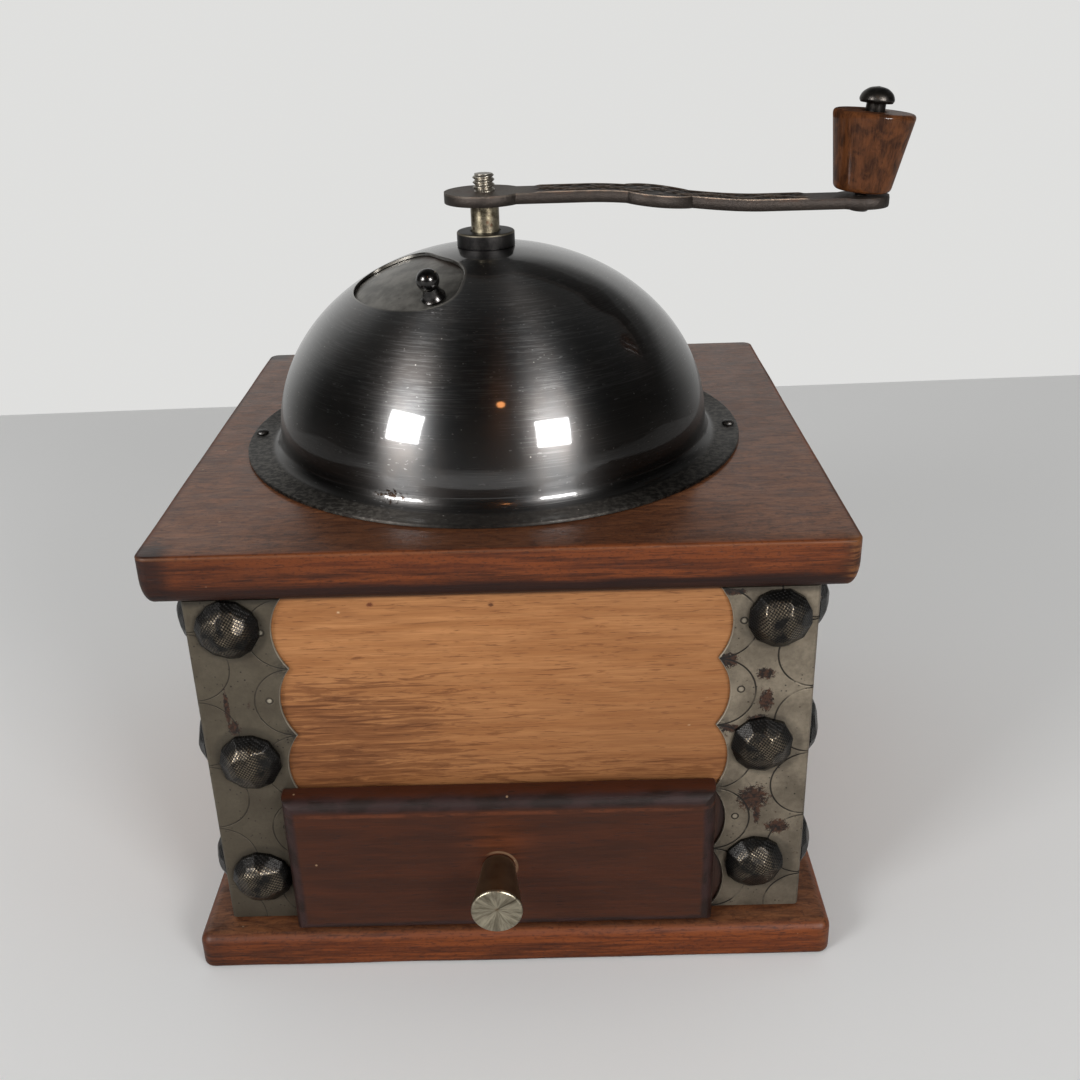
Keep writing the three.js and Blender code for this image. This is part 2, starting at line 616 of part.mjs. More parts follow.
// Flanged bush riveted through the dome, which also holds the hatch cover up
function domeBush() {
  const seat = BUSH_TOP - BUSH_HEIGHT;
  const rim = HATCH_TOP - HATCH_THICK - RUNNING_GAP;
  const bush = turned([
    [SHAFT_BORE_RADIUS, BUSH_TOP],
    [BUSH_RADIUS - BUSH_CHAMFER, BUSH_TOP],
    [BUSH_RADIUS, BUSH_TOP - BUSH_CHAMFER],
    [BUSH_RADIUS, seat],
    [BUSH_NECK_RADIUS, seat],
    [BUSH_NECK_RADIUS, rim],
    [BUSH_RIM_RADIUS, rim],
    [BUSH_RIM_RADIUS, rim - BUSH_RIM_THICK],
    [SHAFT_BORE_RADIUS, rim - BUSH_RIM_THICK],
  ], ROUND_SEGMENTS);
  return piece('dome_bush', bush.translate(AXIS_X, AXIS_Y, 0), blackSteel);
}

// Fan of sheet that follows the dome's inside and turns about the bush
function hatchCover() {
  const inside = DOME_WALL + HATCH_GAP;
  const skin = (offset) => {
    const [a, b] = [DOME_RADIUS - offset, DOME_RISE - offset];
    const [start, end] = [Math.asin(HATCH_HUB_RADIUS / a), Math.asin(HATCH_REACH / a)];
    return Array.from({ length: DOME_STEPS }, (_, i) => {
      const angle = start + ((end - start) * i) / (DOME_STEPS - 1);
      return [a * Math.sin(angle), DOME_CENTRE + b * Math.cos(angle)];
    });
  };
  const bore = BUSH_NECK_RADIUS + RUNNING_GAP;
  const shell = turned([
    [bore, HATCH_TOP],
    [DOME_SEAT_RADIUS, HATCH_TOP],
    ...skin(inside),
    ...skin(inside + HATCH_THICK).reverse(),
    [DOME_SEAT_RADIUS, HATCH_TOP - HATCH_THICK],
    [bore, HATCH_TOP - HATCH_THICK],
  ], DOME_SEGMENTS).translate(AXIS_X, AXIS_Y, 0);
  const [from, to] = [HOLE_AZIMUTH - HATCH_HALF_ANGLE, HOLE_AZIMUTH + HATCH_HALF_ANGLE];
  const edge = HATCH_REACH - GLUE_LINE;
  const fan = prism([
    ...arc(AXIS_X, AXIS_Y, edge, from, to, SMALL_SEGMENTS),
    ...arc(AXIS_X, AXIS_Y, HATCH_HUB_RADIUS, to, from + 360, SMALL_SEGMENTS),
  ], DOME_RISE).translate(0, 0, DOME_CENTRE);
  const rivetHole = rod(HATCH_KNOB_RIVET_RADIUS + SEAT_GAP, -OVERRUN, OVERRUN, PILOT_SEGMENTS);
  const { at, way } = hatchKnobPlace();
  return piece('hatch_cover', cut(common(shell, fan), [placedAlong(rivetHole, at, way)]), domeSteel);
}

// Where the knob stands on the cover, and the cover's normal there
function hatchKnobPlace() {
  const offset = DOME_WALL + HATCH_GAP;
  const [a, b] = [DOME_RADIUS - offset, DOME_RISE - offset];
  const height = ellipseHeight(HATCH_KNOB_RADIUS, a, b);
  const [x, y] = onCircle(HATCH_KNOB_RADIUS, HATCH_KNOB_AZIMUTH);
  const outward = [HATCH_KNOB_RADIUS / a ** 2, height / b ** 2];
  const [across, up] = outward.map((value) => value / Math.hypot(...outward));
  const azimuth = rad(HATCH_KNOB_AZIMUTH);
  const way = [across * Math.cos(azimuth), across * Math.sin(azimuth), up];
  return { at: [x, y, DOME_CENTRE + height], way };
}

function hatchKnob() {
  const [r, ball] = [HATCH_KNOB_NECK_RADIUS, HATCH_KNOB_BALL_RADIUS];
  const start = -deg(Math.acos(r / ball));
  const centre = HATCH_KNOB_NECK_HEIGHT + Math.sqrt(ball ** 2 - r ** 2);
  const tail = -HATCH_THICK - SEAT_GAP;
  const knob = turned([
    [0, tail],
    [HATCH_KNOB_RIVET_RADIUS, tail],
    [HATCH_KNOB_RIVET_RADIUS, SEAT_GAP],
    [HATCH_KNOB_FOOT_RADIUS, SEAT_GAP],
    [HATCH_KNOB_FOOT_RADIUS, SEAT_GAP + HATCH_KNOB_FOOT_THICK],
    [(HATCH_KNOB_FOOT_RADIUS + r) / 2, HATCH_KNOB_NECK_HEIGHT / 2],
    ...arc(0, centre, ball, start, 90, 2 * EDGE_STEPS),
  ], SMALL_SEGMENTS);
  const { at, way } = hatchKnobPlace();
  return piece('hatch_knob', placedAlong(knob, at, way), blackSteel);
}

// Cast funnel whose flange rests on the top board, with a lip for the grinding ring
function millHousing() {
  const outerThroat = THROAT_RADIUS + HOUSING_WALL;
  const flangeBottom = HOUSING_TOP - HOUSING_WALL;
  const housing = turned([
    [HOUSING_MOUTH_RADIUS, HOUSING_TOP],
    [HOUSING_FLANGE_RADIUS, HOUSING_TOP],
    [HOUSING_FLANGE_RADIUS, flangeBottom],
    [HOUSING_MOUTH_RADIUS + HOUSING_WALL, flangeBottom],
    [outerThroat, HOUSING_CONE_BOTTOM],
    [outerThroat, HOUSING_BOTTOM],
    [THROAT_RADIUS - HOUSING_LIP, HOUSING_BOTTOM],
    [THROAT_RADIUS - HOUSING_LIP, HOUSING_BOTTOM + HOUSING_WALL],
    [THROAT_RADIUS, HOUSING_BOTTOM + HOUSING_WALL],
    [THROAT_RADIUS, HOUSING_CONE_BOTTOM],
  ], ROUND_SEGMENTS);
  return piece('mill_housing', housing.translate(AXIS_X, AXIS_Y, 0), castIron);
}

// A cone whose skin stands in slanting saw teeth, from height zero up
function toothedCone(bottom, top, height, teeth, depth) {
  const cone = new THREE.CylinderGeometry(top, bottom, height, teeth * EDGE_STEPS, 2 * EDGE_STEPS);
  cone.rotateX(Math.PI / 2).translate(0, 0, height / 2);
  const position = cone.attributes.position;
  for (let i = 0; i < position.count; i += 1) {
    const [x, y, z] = [position.getX(i), position.getY(i), position.getZ(i)];
    const radius = Math.hypot(x, y);
    const turn = Math.atan2(y, x) / (2 * Math.PI);
    const step = Math.round(turn * teeth * EDGE_STEPS) % EDGE_STEPS;
    const low = (step + EDGE_STEPS) % EDGE_STEPS === 0 ? 1 : 0;
    const share = radius > WELD_DISTANCE ? 1 - (low * depth) / radius : 1;
    const twist = (TOOTH_TWIST * z) / height;
    const [c, s] = [Math.cos(twist) * share, Math.sin(twist) * share];
    position.setXY(i, x * c - y * s, x * s + y * c);
  }
  return cone;
}

function grindingRing() {
  const blank = rod(RING_RADIUS, RING_BOTTOM, RING_BOTTOM + RING_HEIGHT, ROUND_SEGMENTS);
  const bottom = RING_BOTTOM_BORE + RING_TOOTH_DEPTH;
  const top = RING_TOP_BORE + RING_TOOTH_DEPTH;
  const slope = (top - bottom) / RING_HEIGHT;
  const [low, high] = [bottom - slope * OVERRUN, top + slope * OVERRUN];
  const mouth = toothedCone(low, high, RING_HEIGHT + 2 * OVERRUN, RING_TEETH, RING_TOOTH_DEPTH);
  const ring = cut(blank, [mouth.translate(0, 0, RING_BOTTOM - OVERRUN)]);
  const reach = THROAT_RADIUS - HOUSING_LIP - SEAT_GAP;
  const strip = block([-reach, reach], [-BAR_WIDTH / 2, BAR_WIDTH / 2], [BAR_BOTTOM, BAR_TOP]);
  const bar = common(strip, rod(reach, BAR_BOTTOM - OVERRUN, BAR_TOP + OVERRUN, ROUND_SEGMENTS));
  const boss = rod(BOSS_RADIUS, BOSS_BOTTOM, BAR_TOP, SMALL_SEGMENTS);
  const bore = rod(BOSS_BORE_RADIUS, BOSS_BOTTOM - OVERRUN, BAR_TOP + OVERRUN, SMALL_SEGMENTS);
  const casting = cut(join([ring, bar, boss]), [bore]);
  return piece('grinding_ring', casting.translate(AXIS_X, AXIS_Y, 0), castIron);
}

function grindingCone() {
  const cone = toothedCone(CONE_BOTTOM_RADIUS, CONE_TOP_RADIUS, CONE_HEIGHT, CONE_TEETH, CONE_TOOTH_DEPTH);
  const bore = rod(SHAFT_RADIUS + SEAT_GAP, -OVERRUN, CONE_HEIGHT + OVERRUN, SMALL_SEGMENTS);
  return piece('grinding_cone', cut(cone, [bore]).translate(AXIS_X, AXIS_Y, CONE_BOTTOM), castIron);
}

// Shaft with a journal below, and above the arm's seat a threaded end with two flats
function mainShaft() {
  const seatTop = SHAFT_TOP + ARM_THICK + RUNNING_GAP;
  const thread = Array.from({ length: THREAD_TURNS }, (_, i) => {
    const z = seatTop + (i + THREAD_START_SHARE) * THREAD_PITCH;
    return [[THREAD_ROOT_RADIUS, z], [THREAD_RADIUS, z + THREAD_PITCH / 2]];
  }).flat();
  const top = seatTop + (THREAD_TURNS + THREAD_END_SHARE) * THREAD_PITCH;
  const round = turned([
    [0, SHAFT_BOTTOM],
    [JOURNAL_RADIUS, SHAFT_BOTTOM],
    [JOURNAL_RADIUS, CONE_BOTTOM],
    [SHAFT_RADIUS, CONE_BOTTOM],
    [SHAFT_RADIUS, SHAFT_TOP],
    [THREAD_RADIUS, SHAFT_TOP],
    [THREAD_RADIUS, seatTop],
    ...thread,
    [THREAD_ROOT_RADIUS, top],
    [0, top],
  ], SMALL_SEGMENTS);
  const flats = [-1, 1].map((way) => {
    const across = [way * FLAT_HALF_WIDTH, way * (FLAT_HALF_WIDTH + OVERRUN)].sort((a, b) => a - b);
    return block(across, [-THREAD_RADIUS, THREAD_RADIUS], [SHAFT_TOP, SHAFT_TOP + ARM_THICK]);
  });
  return piece('main_shaft', cut(round, flats).translate(AXIS_X, AXIS_Y, 0), brightSteel);
}

function thrustBall() {
  const ball = new THREE.SphereGeometry(BALL_RADIUS, SMALL_SEGMENTS, PILOT_SEGMENTS);
  return piece('thrust_ball', welded(ball).translate(AXIS_X, AXIS_Y, BALL_CENTRE), brightSteel);
}

// Screw in the boss below the ball; its knurled head sets how fine the mill grinds
function adjustingScrew() {
  const rim = Array.from({ length: 2 * SCREW_KNURLS }, (_, i) => {
    const radius = SCREW_HEAD_RADIUS - (i % 2) * KNURL_DEPTH;
    const angle = (Math.PI * i) / SCREW_KNURLS;
    return [radius * Math.cos(angle), radius * Math.sin(angle)];
  });
  const head = prism(rim, SCREW_HEAD_HEIGHT).translate(0, 0, SCREW_HEAD_TOP - SCREW_HEAD_HEIGHT);
  const stemFoot = SCREW_HEAD_TOP - SCREW_HEAD_HEIGHT / 2;
  const stem = rod(BOSS_BORE_RADIUS - RUNNING_GAP, stemFoot, SCREW_TIP, SMALL_SEGMENTS);
  return piece('adjusting_screw', join([head, stem]).translate(AXIS_X, AXIS_Y, 0), brightSteel);
}

// The arm's outline on one side, as [distance from the shaft, half width] points
function armStations() {
  const hub = arc(0, 0, HUB_RADIUS, ...HUB_ARC, EYE_STEPS);
  const eye = arc(ARM_LENGTH, 0, ARM_EYE_RADIUS, ...EYE_ARC, EYE_STEPS);
  const half = MEDALLION_LENGTH / 2;
  const [neckEnd, tailStart] = [MEDALLION_CENTRE - half, MEDALLION_CENTRE + half];
  const run = (shares, from, to, width) => shares.map((share) => [from + share * (to - from), width]);
  return [
    ...hub,
    ...run(ARM_NECK_SHARES, HUB_RADIUS, neckEnd, NECK_HALF_WIDTH),
    [neckEnd, NECK_HALF_WIDTH],
    ...run(MEDALLION_SHARES, MEDALLION_CENTRE, tailStart, MEDALLION_HALF_WIDTH),
    [tailStart, ARM_TAIL_HALF_WIDTH],
    ...run(ARM_TAIL_SHARES, tailStart, ARM_LENGTH - ARM_EYE_RADIUS, ARM_TAIL_HALF_WIDTH),
    ...eye.slice(1),
  ];
}

// How far the arm has dropped at a distance from the shaft
function armDrop(distance) {
  return -ARM_DROP * THREE.MathUtils.smoothstep(distance, ARM_BEND_START, ARM_BEND_END);
}

function crankArm() {
  const stations = armStations();
  const strip = new THREE.BoxGeometry(stations.length - 1, 2, ARM_THICK, stations.length - 1, 1, 1);
  strip.translate((stations.length - 1) / 2, 0, ARM_THICK / 2);
  const position = strip.attributes.position;
  for (let i = 0; i < position.count; i += 1) {
    const [distance, halfWidth] = stations[Math.round(position.getX(i))];
    const z = position.getZ(i) + armDrop(distance);
    position.setXYZ(i, distance, position.getY(i) * halfWidth, z);
  }
  const round = rod(THREAD_RADIUS + SEAT_GAP, -OVERRUN, ARM_THICK + OVERRUN, SMALL_SEGMENTS);
  const flat = FLAT_HALF_WIDTH + SEAT_GAP;
  const slot = block([-flat, flat], [-HUB_RADIUS, HUB_RADIUS], [-OVERRUN, ARM_THICK + OVERRUN]);
  const eyeBottom = -ARM_DROP - OVERRUN;
  const pinHole = rod(PIN_TENON_RADIUS + PIN_HOLE_GAP, eyeBottom, ARM_THICK + OVERRUN, SMALL_SEGMENTS);
  const arm = cut(strip, [common(round, slot), pinHole.translate(ARM_LENGTH, 0, 0)]);
  return piece('crank_arm', arm.translate(AXIS_X, AXIS_Y, SHAFT_TOP), castIron);
}

// Grip and pin share a frame whose Z axis is the leaning pin, with zero at the grip's foot
function gripFrame(children) {
  const frame = new THREE.Group();
  frame.position.set(AXIS_X + ARM_LENGTH, AXIS_Y, SHAFT_TOP - ARM_DROP + ARM_THICK + GRIP_LIFT);
  frame.rotation.y = rad(GRIP_TILT);
  frame.add(...children);
  return frame;
}

function handlePin() {
  const under = -GRIP_LIFT - ARM_THICK - SEAT_GAP;
  const headFoot = GRIP_LENGTH + PIN_NECK;
  const pin = turned([
    [0, under - PIN_RIVET_HEIGHT],
    [PIN_RIVET_RADIUS * PIN_RIVET_FACE_SHARE, under - PIN_RIVET_HEIGHT],
    [PIN_RIVET_RADIUS, under - GLUE_LINE],
    [PIN_TENON_RADIUS, under - GLUE_LINE],
    [PIN_TENON_RADIUS, -GRIP_LIFT + SEAT_GAP],
    [PIN_RADIUS, -GRIP_LIFT + SEAT_GAP + PIN_SHOULDER],
    [PIN_RADIUS, headFoot],
    ...PIN_HEAD_SHARES.map(([out, up]) => [PIN_HEAD_RADIUS * out, headFoot + PIN_HEAD_HEIGHT * up]),
    [0, headFoot + PIN_HEAD_HEIGHT],
  ], SMALL_SEGMENTS);
  return piece('handle_pin', pin, blackSteel);
}

function handleGrip() {
  const bore = PIN_RADIUS + RUNNING_GAP;
  const grip = turned([
    [bore, 0],
    [GRIP_FOOT_RADIUS - GRIP_BEVEL, 0],
    [GRIP_FOOT_RADIUS, GRIP_BEVEL],
    [GRIP_TOP_RADIUS, GRIP_LENGTH - GRIP_BEVEL],
    [GRIP_TOP_RADIUS - GRIP_BEVEL, GRIP_LENGTH],
    [bore, GRIP_LENGTH],
  ], ROUND_SEGMENTS);
  return piece('handle_grip', grip, stainedWood);
}

// Drawer front: a lip over the opening, rounded in front, and a tongue inside the opening
function drawerFront() {
  const [width, height, lipThick] = [DRAWER_FRONT_WIDTH, DRAWER_FRONT_HEIGHT, DRAWER_LIP_THICK];
  const board = roundedBoard(width, height, 2 * lipThick, DRAWER_LIP_RADIUS);
  const frontHalf = block([-width, width], [-height, height], [lipThick, 2 * lipThick + OVERRUN]);
  const face = common(board, frontHalf).translate(0, 0, -lipThick).rotateX(Math.PI / 2);
  face.translate(DRAWER_FRONT_SHIFT, DRAWER_LIP_BACK, DRAWER_BOTTOM + height / 2);
  const tongueTop = PANEL_BOTTOM - DRAWER_SIDE_GAP;
  const along = [DRAWER_LIP_BACK - lipThick / 2, DRAWER_LIP_BACK + DRAWER_TONGUE_THICK];
  const tongue = block([-DRAWER_HALF_WIDTH, DRAWER_HALF_WIDTH], along, [DRAWER_BOTTOM, tongueTop]);
  const bore = KNOB_STUD_RADIUS + SEAT_GAP;
  const hole = rod(bore, -DRAWER_TONGUE_THICK - OVERRUN, lipThick + OVERRUN, PILOT_SEGMENTS);
  const place = [KNOB_SHIFT, DRAWER_LIP_BACK, KNOB_HEIGHT];
  const front = cut(join([face, tongue]), [placedAlong(hole, place, [0, -1, 0])]);
  return piece('drawer_front', front, darkWood);
}

function drawerKnob() {
  const foot = DRAWER_LIP_THICK + SEAT_GAP;
  const face = foot + KNOB_LENGTH;
  const knob = turned([
    [0, -DRAWER_TONGUE_THICK],
    [KNOB_STUD_RADIUS, -DRAWER_TONGUE_THICK + KNOB_EDGE],
    [KNOB_STUD_RADIUS, foot],
    [KNOB_FOOT_RADIUS, foot],
    [KNOB_FACE_RADIUS, face - KNOB_EDGE],
    [KNOB_FACE_RADIUS - KNOB_EDGE, face],
    [0, face - KNOB_DIMPLE],
  ], ROUND_SEGMENTS);
  const place = [KNOB_SHIFT, DRAWER_LIP_BACK, KNOB_HEIGHT];
  return piece('drawer_knob', placedAlong(knob, place, [0, -1, 0]), brightSteel);
}

// Two sides run the whole length; the back and the floor stand between them
function drawerBox() {
  const start = DRAWER_LIP_BACK + DRAWER_TONGUE_THICK + GLUE_LINE;
  const end = BACK_WALL_INSIDE - DRAWER_BACK_GAP;
  const inner = DRAWER_HALF_WIDTH - DRAWER_WALL - GLUE_LINE;
  const tall = [DRAWER_BOTTOM, PANEL_BOTTOM - DRAWER_TOP_GAP];
  const sides = [[-1, 'left'], [1, 'right']].map(([side, word]) => {
    const outer = side * DRAWER_HALF_WIDTH;
    const across = [outer, outer - side * DRAWER_WALL].sort((a, b) => a - b);
    return piece(`drawer_${word}_side`, block(across, [start, end], tall), innerWood);
  });
  const floorTop = DRAWER_BOTTOM + DRAWER_FLOOR_THICK;
  const backTall = [floorTop + GLUE_LINE, tall[1]];
  const back = block([-inner, inner], [end - DRAWER_WALL, end], backTall);
  const floor = block([-inner, inner], [start, end], [DRAWER_BOTTOM, floorTop]);
  return [...sides, piece('drawer_back', back, innerWood), piece('drawer_floor', floor, innerWood)];
}

const nails = nailPlaces();
const coffeeMill = new THREE.Group();
coffeeMill.add(
  baseBoard(),
  ...boxWalls(nails),
  topBoard(),
  ...drawerGuides(),
  ...boxCorners.map(([side, end, corner]) => cornerStrap(side, end, corner, nails)),
  ...nails.map(nailPiece),
  millHousing(),
  grindingRing(),
  thrustBall(),
  adjustingScrew(),
  hopperDome(),
  ...domeScrews(),
  domeBush(),
  hatchCover(),
  hatchKnob(),
  mainShaft(),
  grindingCone(),
  crankArm(),
  gripFrame([handlePin(), handleGrip()]),
  drawerFront(),
  ...drawerBox(),
  drawerKnob(),
);

export default coffeeMill;
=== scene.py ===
import math

import bpy
import bmesh
import numpy as np
from mathutils import Matrix, Vector


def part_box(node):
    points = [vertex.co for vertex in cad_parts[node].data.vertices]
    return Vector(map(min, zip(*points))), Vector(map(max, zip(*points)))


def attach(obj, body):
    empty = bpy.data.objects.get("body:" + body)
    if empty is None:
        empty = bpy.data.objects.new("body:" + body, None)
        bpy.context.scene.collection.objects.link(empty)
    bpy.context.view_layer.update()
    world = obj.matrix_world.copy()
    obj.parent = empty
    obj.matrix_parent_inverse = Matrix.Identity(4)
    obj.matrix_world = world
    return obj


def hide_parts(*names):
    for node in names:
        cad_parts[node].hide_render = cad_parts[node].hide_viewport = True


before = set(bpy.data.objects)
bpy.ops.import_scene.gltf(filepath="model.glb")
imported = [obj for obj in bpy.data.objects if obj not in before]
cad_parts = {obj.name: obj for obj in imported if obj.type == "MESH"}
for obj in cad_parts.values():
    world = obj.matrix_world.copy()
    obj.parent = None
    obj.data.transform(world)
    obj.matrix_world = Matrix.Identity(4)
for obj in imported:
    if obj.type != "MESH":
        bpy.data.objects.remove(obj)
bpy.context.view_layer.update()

# The room. The mill stands on a plain pale table in front of a pale wall, lit by two square soft
# lamps low at the left and right of the camera, which show as two squares in the dome. The camera
# stands where the photograph's did; that was worked out from the edges of the box and the dome.
MM = 0.001
CAMERA_AT = (11.956, -333.855, 238.869)
CAMERA_YAW, CAMERA_PITCH, CAMERA_ROLL = -0.499, 24.828, -1.710
FOCAL_SHARE = 1222.5 / 1080
SENSOR = 36
LAMP_TARGET = (0, -55, 140)
LAMP_DISTANCE = 1200
# Each lamp: the way it lies from the dome as azimuth and elevation, its turn, width and radiance.
# Metal and varnish see the same squares brighter than the light that they shed, at the glint
# radiance and a little nearer. Above the camera a small warm lamp shows only as a spark.
LAMPS = {
    "lamp_left": (-138.5, 21.5, 4, 380, 10.7),
    "lamp_right": (-55.5, 19.0, -6, 370, 11.6),
}
GLINT_RADIANCE, GLINT_NEARER = 38.0, 20
SPARK, SPARK_COLOUR = (-82.6, 42.6, 0, 85, 17.0), (1, 0.38, 0.12)
WALL_LIGHT, CEILING_LIGHT, ROOM_LIGHT = 0.6, 0.12, 0.008
AMBIENT = 0.46
BACKGROUND = 0.74


def srgb(red, green, blue):
    """A colour as a screen shows it, 0 to 255, in the linear values that a socket takes."""
    parts = np.array([red, green, blue]) / 255
    linear = np.where(parts <= 0.04045, parts / 12.92, ((parts + 0.055) / 1.055) ** 2.4)
    return (*linear.tolist(), 1.0)


class Value:
    """A socket in a sum: + - * / ** % and abs() each add a Math node, also with a number on the left
    of + - and *."""

    def __init__(self, nodes, socket):
        self.nodes, self.socket = nodes, socket

    def __add__(self, other):
        return self.nodes.math("ADD", self, other)

    def __sub__(self, other):
        return self.nodes.math("SUBTRACT", self, other)

    def __rsub__(self, other):
        return self.nodes.math("SUBTRACT", other, self)

    def __mul__(self, other):
        return self.nodes.math("MULTIPLY", self, other)

    def __truediv__(self, other):
        return self.nodes.math("DIVIDE", self, other)

    def __pow__(self, other):
        return self.nodes.math("POWER", self, other)

    def __mod__(self, other):
        return self.nodes.math("FLOORED_MODULO", self, other)

    def __abs__(self):
        return self.nodes.math("ABSOLUTE", self)

    __radd__, __rmul__ = __add__, __mul__

    def smooth(self, low, high):
        """0 at low, 1 at high and an S-curve between them."""
        ends = {"Value": self, "From Min": low, "From Max": high}
        return self.nodes.node("MapRange", {"interpolation_type": "SMOOTHSTEP"}, ends)


class Nodes:
    """A node tree that grows by node(): its type, its settings, and the values of its sockets."""

    def __init__(self, tree):
        self.tree = tree

    def node(self, kind, settings=None, inputs=None, output=0):
        made = self.tree.nodes.new("ShaderNode" + kind)
        for name, value in (settings or {}).items():
            setattr(made, name, value)
        for key, value in (inputs or {}).items():
            self.join(value, made.inputs[key])
        return Value(self, made.outputs[output]) if made.outputs else None

    def join(self, value, socket):
        if isinstance(value, Value):
            self.tree.links.new(value.socket, socket)
        else:
            socket.default_value = value

    def math(self, operation, *values):
        """A Math node of values in order; the other methods and Value's operators call it."""
        return self.node("Math", {"operation": operation}, dict(enumerate(values)))

    def least(self, first, second):
        return self.math("MINIMUM", first, second)

    def most(self, first, *others):
        for other in others:
            first = self.math("MAXIMUM", first, other)
        return first

    def length(self, first, second):
        """The length of a step that goes so far one way and so far the other."""
        return (first**2 + second**2) ** 0.5

    def joined(self, x, y, z):
        return self.node("CombineXYZ", {}, {0: x, 1: y, 2: z})

    def mix(self, share, first, second):
        """The first colour where share is 0, and the second where it is 1."""
        return self.node("Mix", {"data_type": "RGBA"}, {0: share, 6: first, 7: second}, 2)

    def axes(self, vector):
        split = self.node("SeparateXYZ", {}, {0: vector}).socket.node
        return [Value(self, socket) for socket in split.outputs]


def place_camera():
    yaw, pitch, roll = (math.radians(v) for v in (CAMERA_YAW, CAMERA_PITCH, CAMERA_ROLL))
    level_ahead = Vector((math.sin(yaw), math.cos(yaw), 0))
    ahead = level_ahead * math.cos(pitch) - Vector((0, 0, math.sin(pitch)))
    level = ahead.cross(Vector((0, 0, 1))).normalized()
    upright = level.cross(ahead)
    right = level * math.cos(roll) + upright * math.sin(roll)
    up = upright * math.cos(roll) - level * math.sin(roll)
    camera = bpy.data.objects.new("camera", bpy.data.cameras.new("camera"))
    bpy.context.scene.collection.objects.link(camera)
    camera.data.sensor_width = SENSOR
    camera.data.lens = SENSOR * FOCAL_SHARE
    camera.data.clip_start = 0.01
    turn = Matrix((right, up, -ahead)).transposed().to_4x4()
    camera.matrix_world = Matrix.Translation(Vector(CAMERA_AT) * MM) @ turn
    bpy.context.scene.camera = camera


def place_lamp(name, azimuth, elevation, turn, width, radiance, distance):
    """A square lamp that faces the dome; its power is its radiance times pi times its area."""
    lamp = bpy.data.objects.new(name, bpy.data.lights.new(name, "AREA"))
    bpy.context.scene.collection.objects.link(lamp)
    lamp.data.shape = "SQUARE"
    lamp.data.size = width * MM
    lamp.data.energy = radiance * math.pi * lamp.data.size**2
    a, e = math.radians(azimuth), math.radians(elevation)
    way = Vector((math.cos(a) * math.cos(e), math.sin(a) * math.cos(e), math.sin(e)))
    facing = way.to_track_quat("Z", "Y").to_matrix().to_4x4()
    facing = facing @ Matrix.Rotation(math.radians(turn), 4, "Z")
    at = (Vector(LAMP_TARGET) + way * distance) * MM
    lamp.matrix_world = Matrix.Translation(at) @ facing
    lamp.visible_camera = False
    return lamp


def light_room():
    """The world: plain pale to the camera; to metal, a pale wall behind, a dim ceiling above and a
    dark room in front."""
    world = bpy.data.worlds.new("room")
    bpy.context.scene.world = world
    world.use_nodes = True
    world.node_tree.nodes.clear()
    nodes = Nodes(world.node_tree)
    x, y, z = nodes.axes(nodes.node("TexCoord"))
    wall = y.smooth(0.25, 0.85) * (1 - (z + x * 0.3).smooth(0.42, 0.62))
    wall = wall * (1 - x.smooth(0.0, 0.8) * 0.35)
    ceiling = z.smooth(0.2, 0.7) * y.smooth(-0.2, 0.5)
    sheen = wall * WALL_LIGHT + ceiling * CEILING_LIGHT + ROOM_LIGHT
    rays = nodes.node("LightPath").socket.node.outputs
    glossy = Value(nodes, rays["Is Glossy Ray"])
    seen = Value(nodes, rays["Is Camera Ray"]) + Value(nodes, rays["Is Transmission Ray"])
    level = glossy * sheen + (1 - glossy) * AMBIENT
    level = seen * BACKGROUND + (1 - seen) * level
    glow = nodes.node("Background", {}, {"Color": (1, 1, 0.985, 1), "Strength": level})
    nodes.node("OutputWorld", {}, {"Surface": glow})


place_camera()
light_room()
for lamp_name, lamp_facts in LAMPS.items():
    place_lamp(lamp_name, *lamp_facts, LAMP_DISTANCE)
    glint_facts = (*lamp_facts[:-1], GLINT_RADIANCE, LAMP_DISTANCE - GLINT_NEARER)
    glint = place_lamp(lamp_name + "_glint", *glint_facts)
    glint.visible_diffuse = False
spark = place_lamp("spark", *SPARK, LAMP_DISTANCE)
spark.data.shape, spark.data.color = "DISK", SPARK_COLOUR
spark.visible_diffuse = False
bpy.context.scene.view_settings.view_transform = "Standard"

# The table: a plain pale matt surface whose far edge is a little behind the mill. It lies just
# below the base board, so that the two don't meet in one plane.
TABLE_REACH, TABLE_BACK, TABLE_TURN, TABLE_LEVEL = 3000, 398, 1.9, -0.15
TABLE_COLOUR = srgb(238, 238, 238)


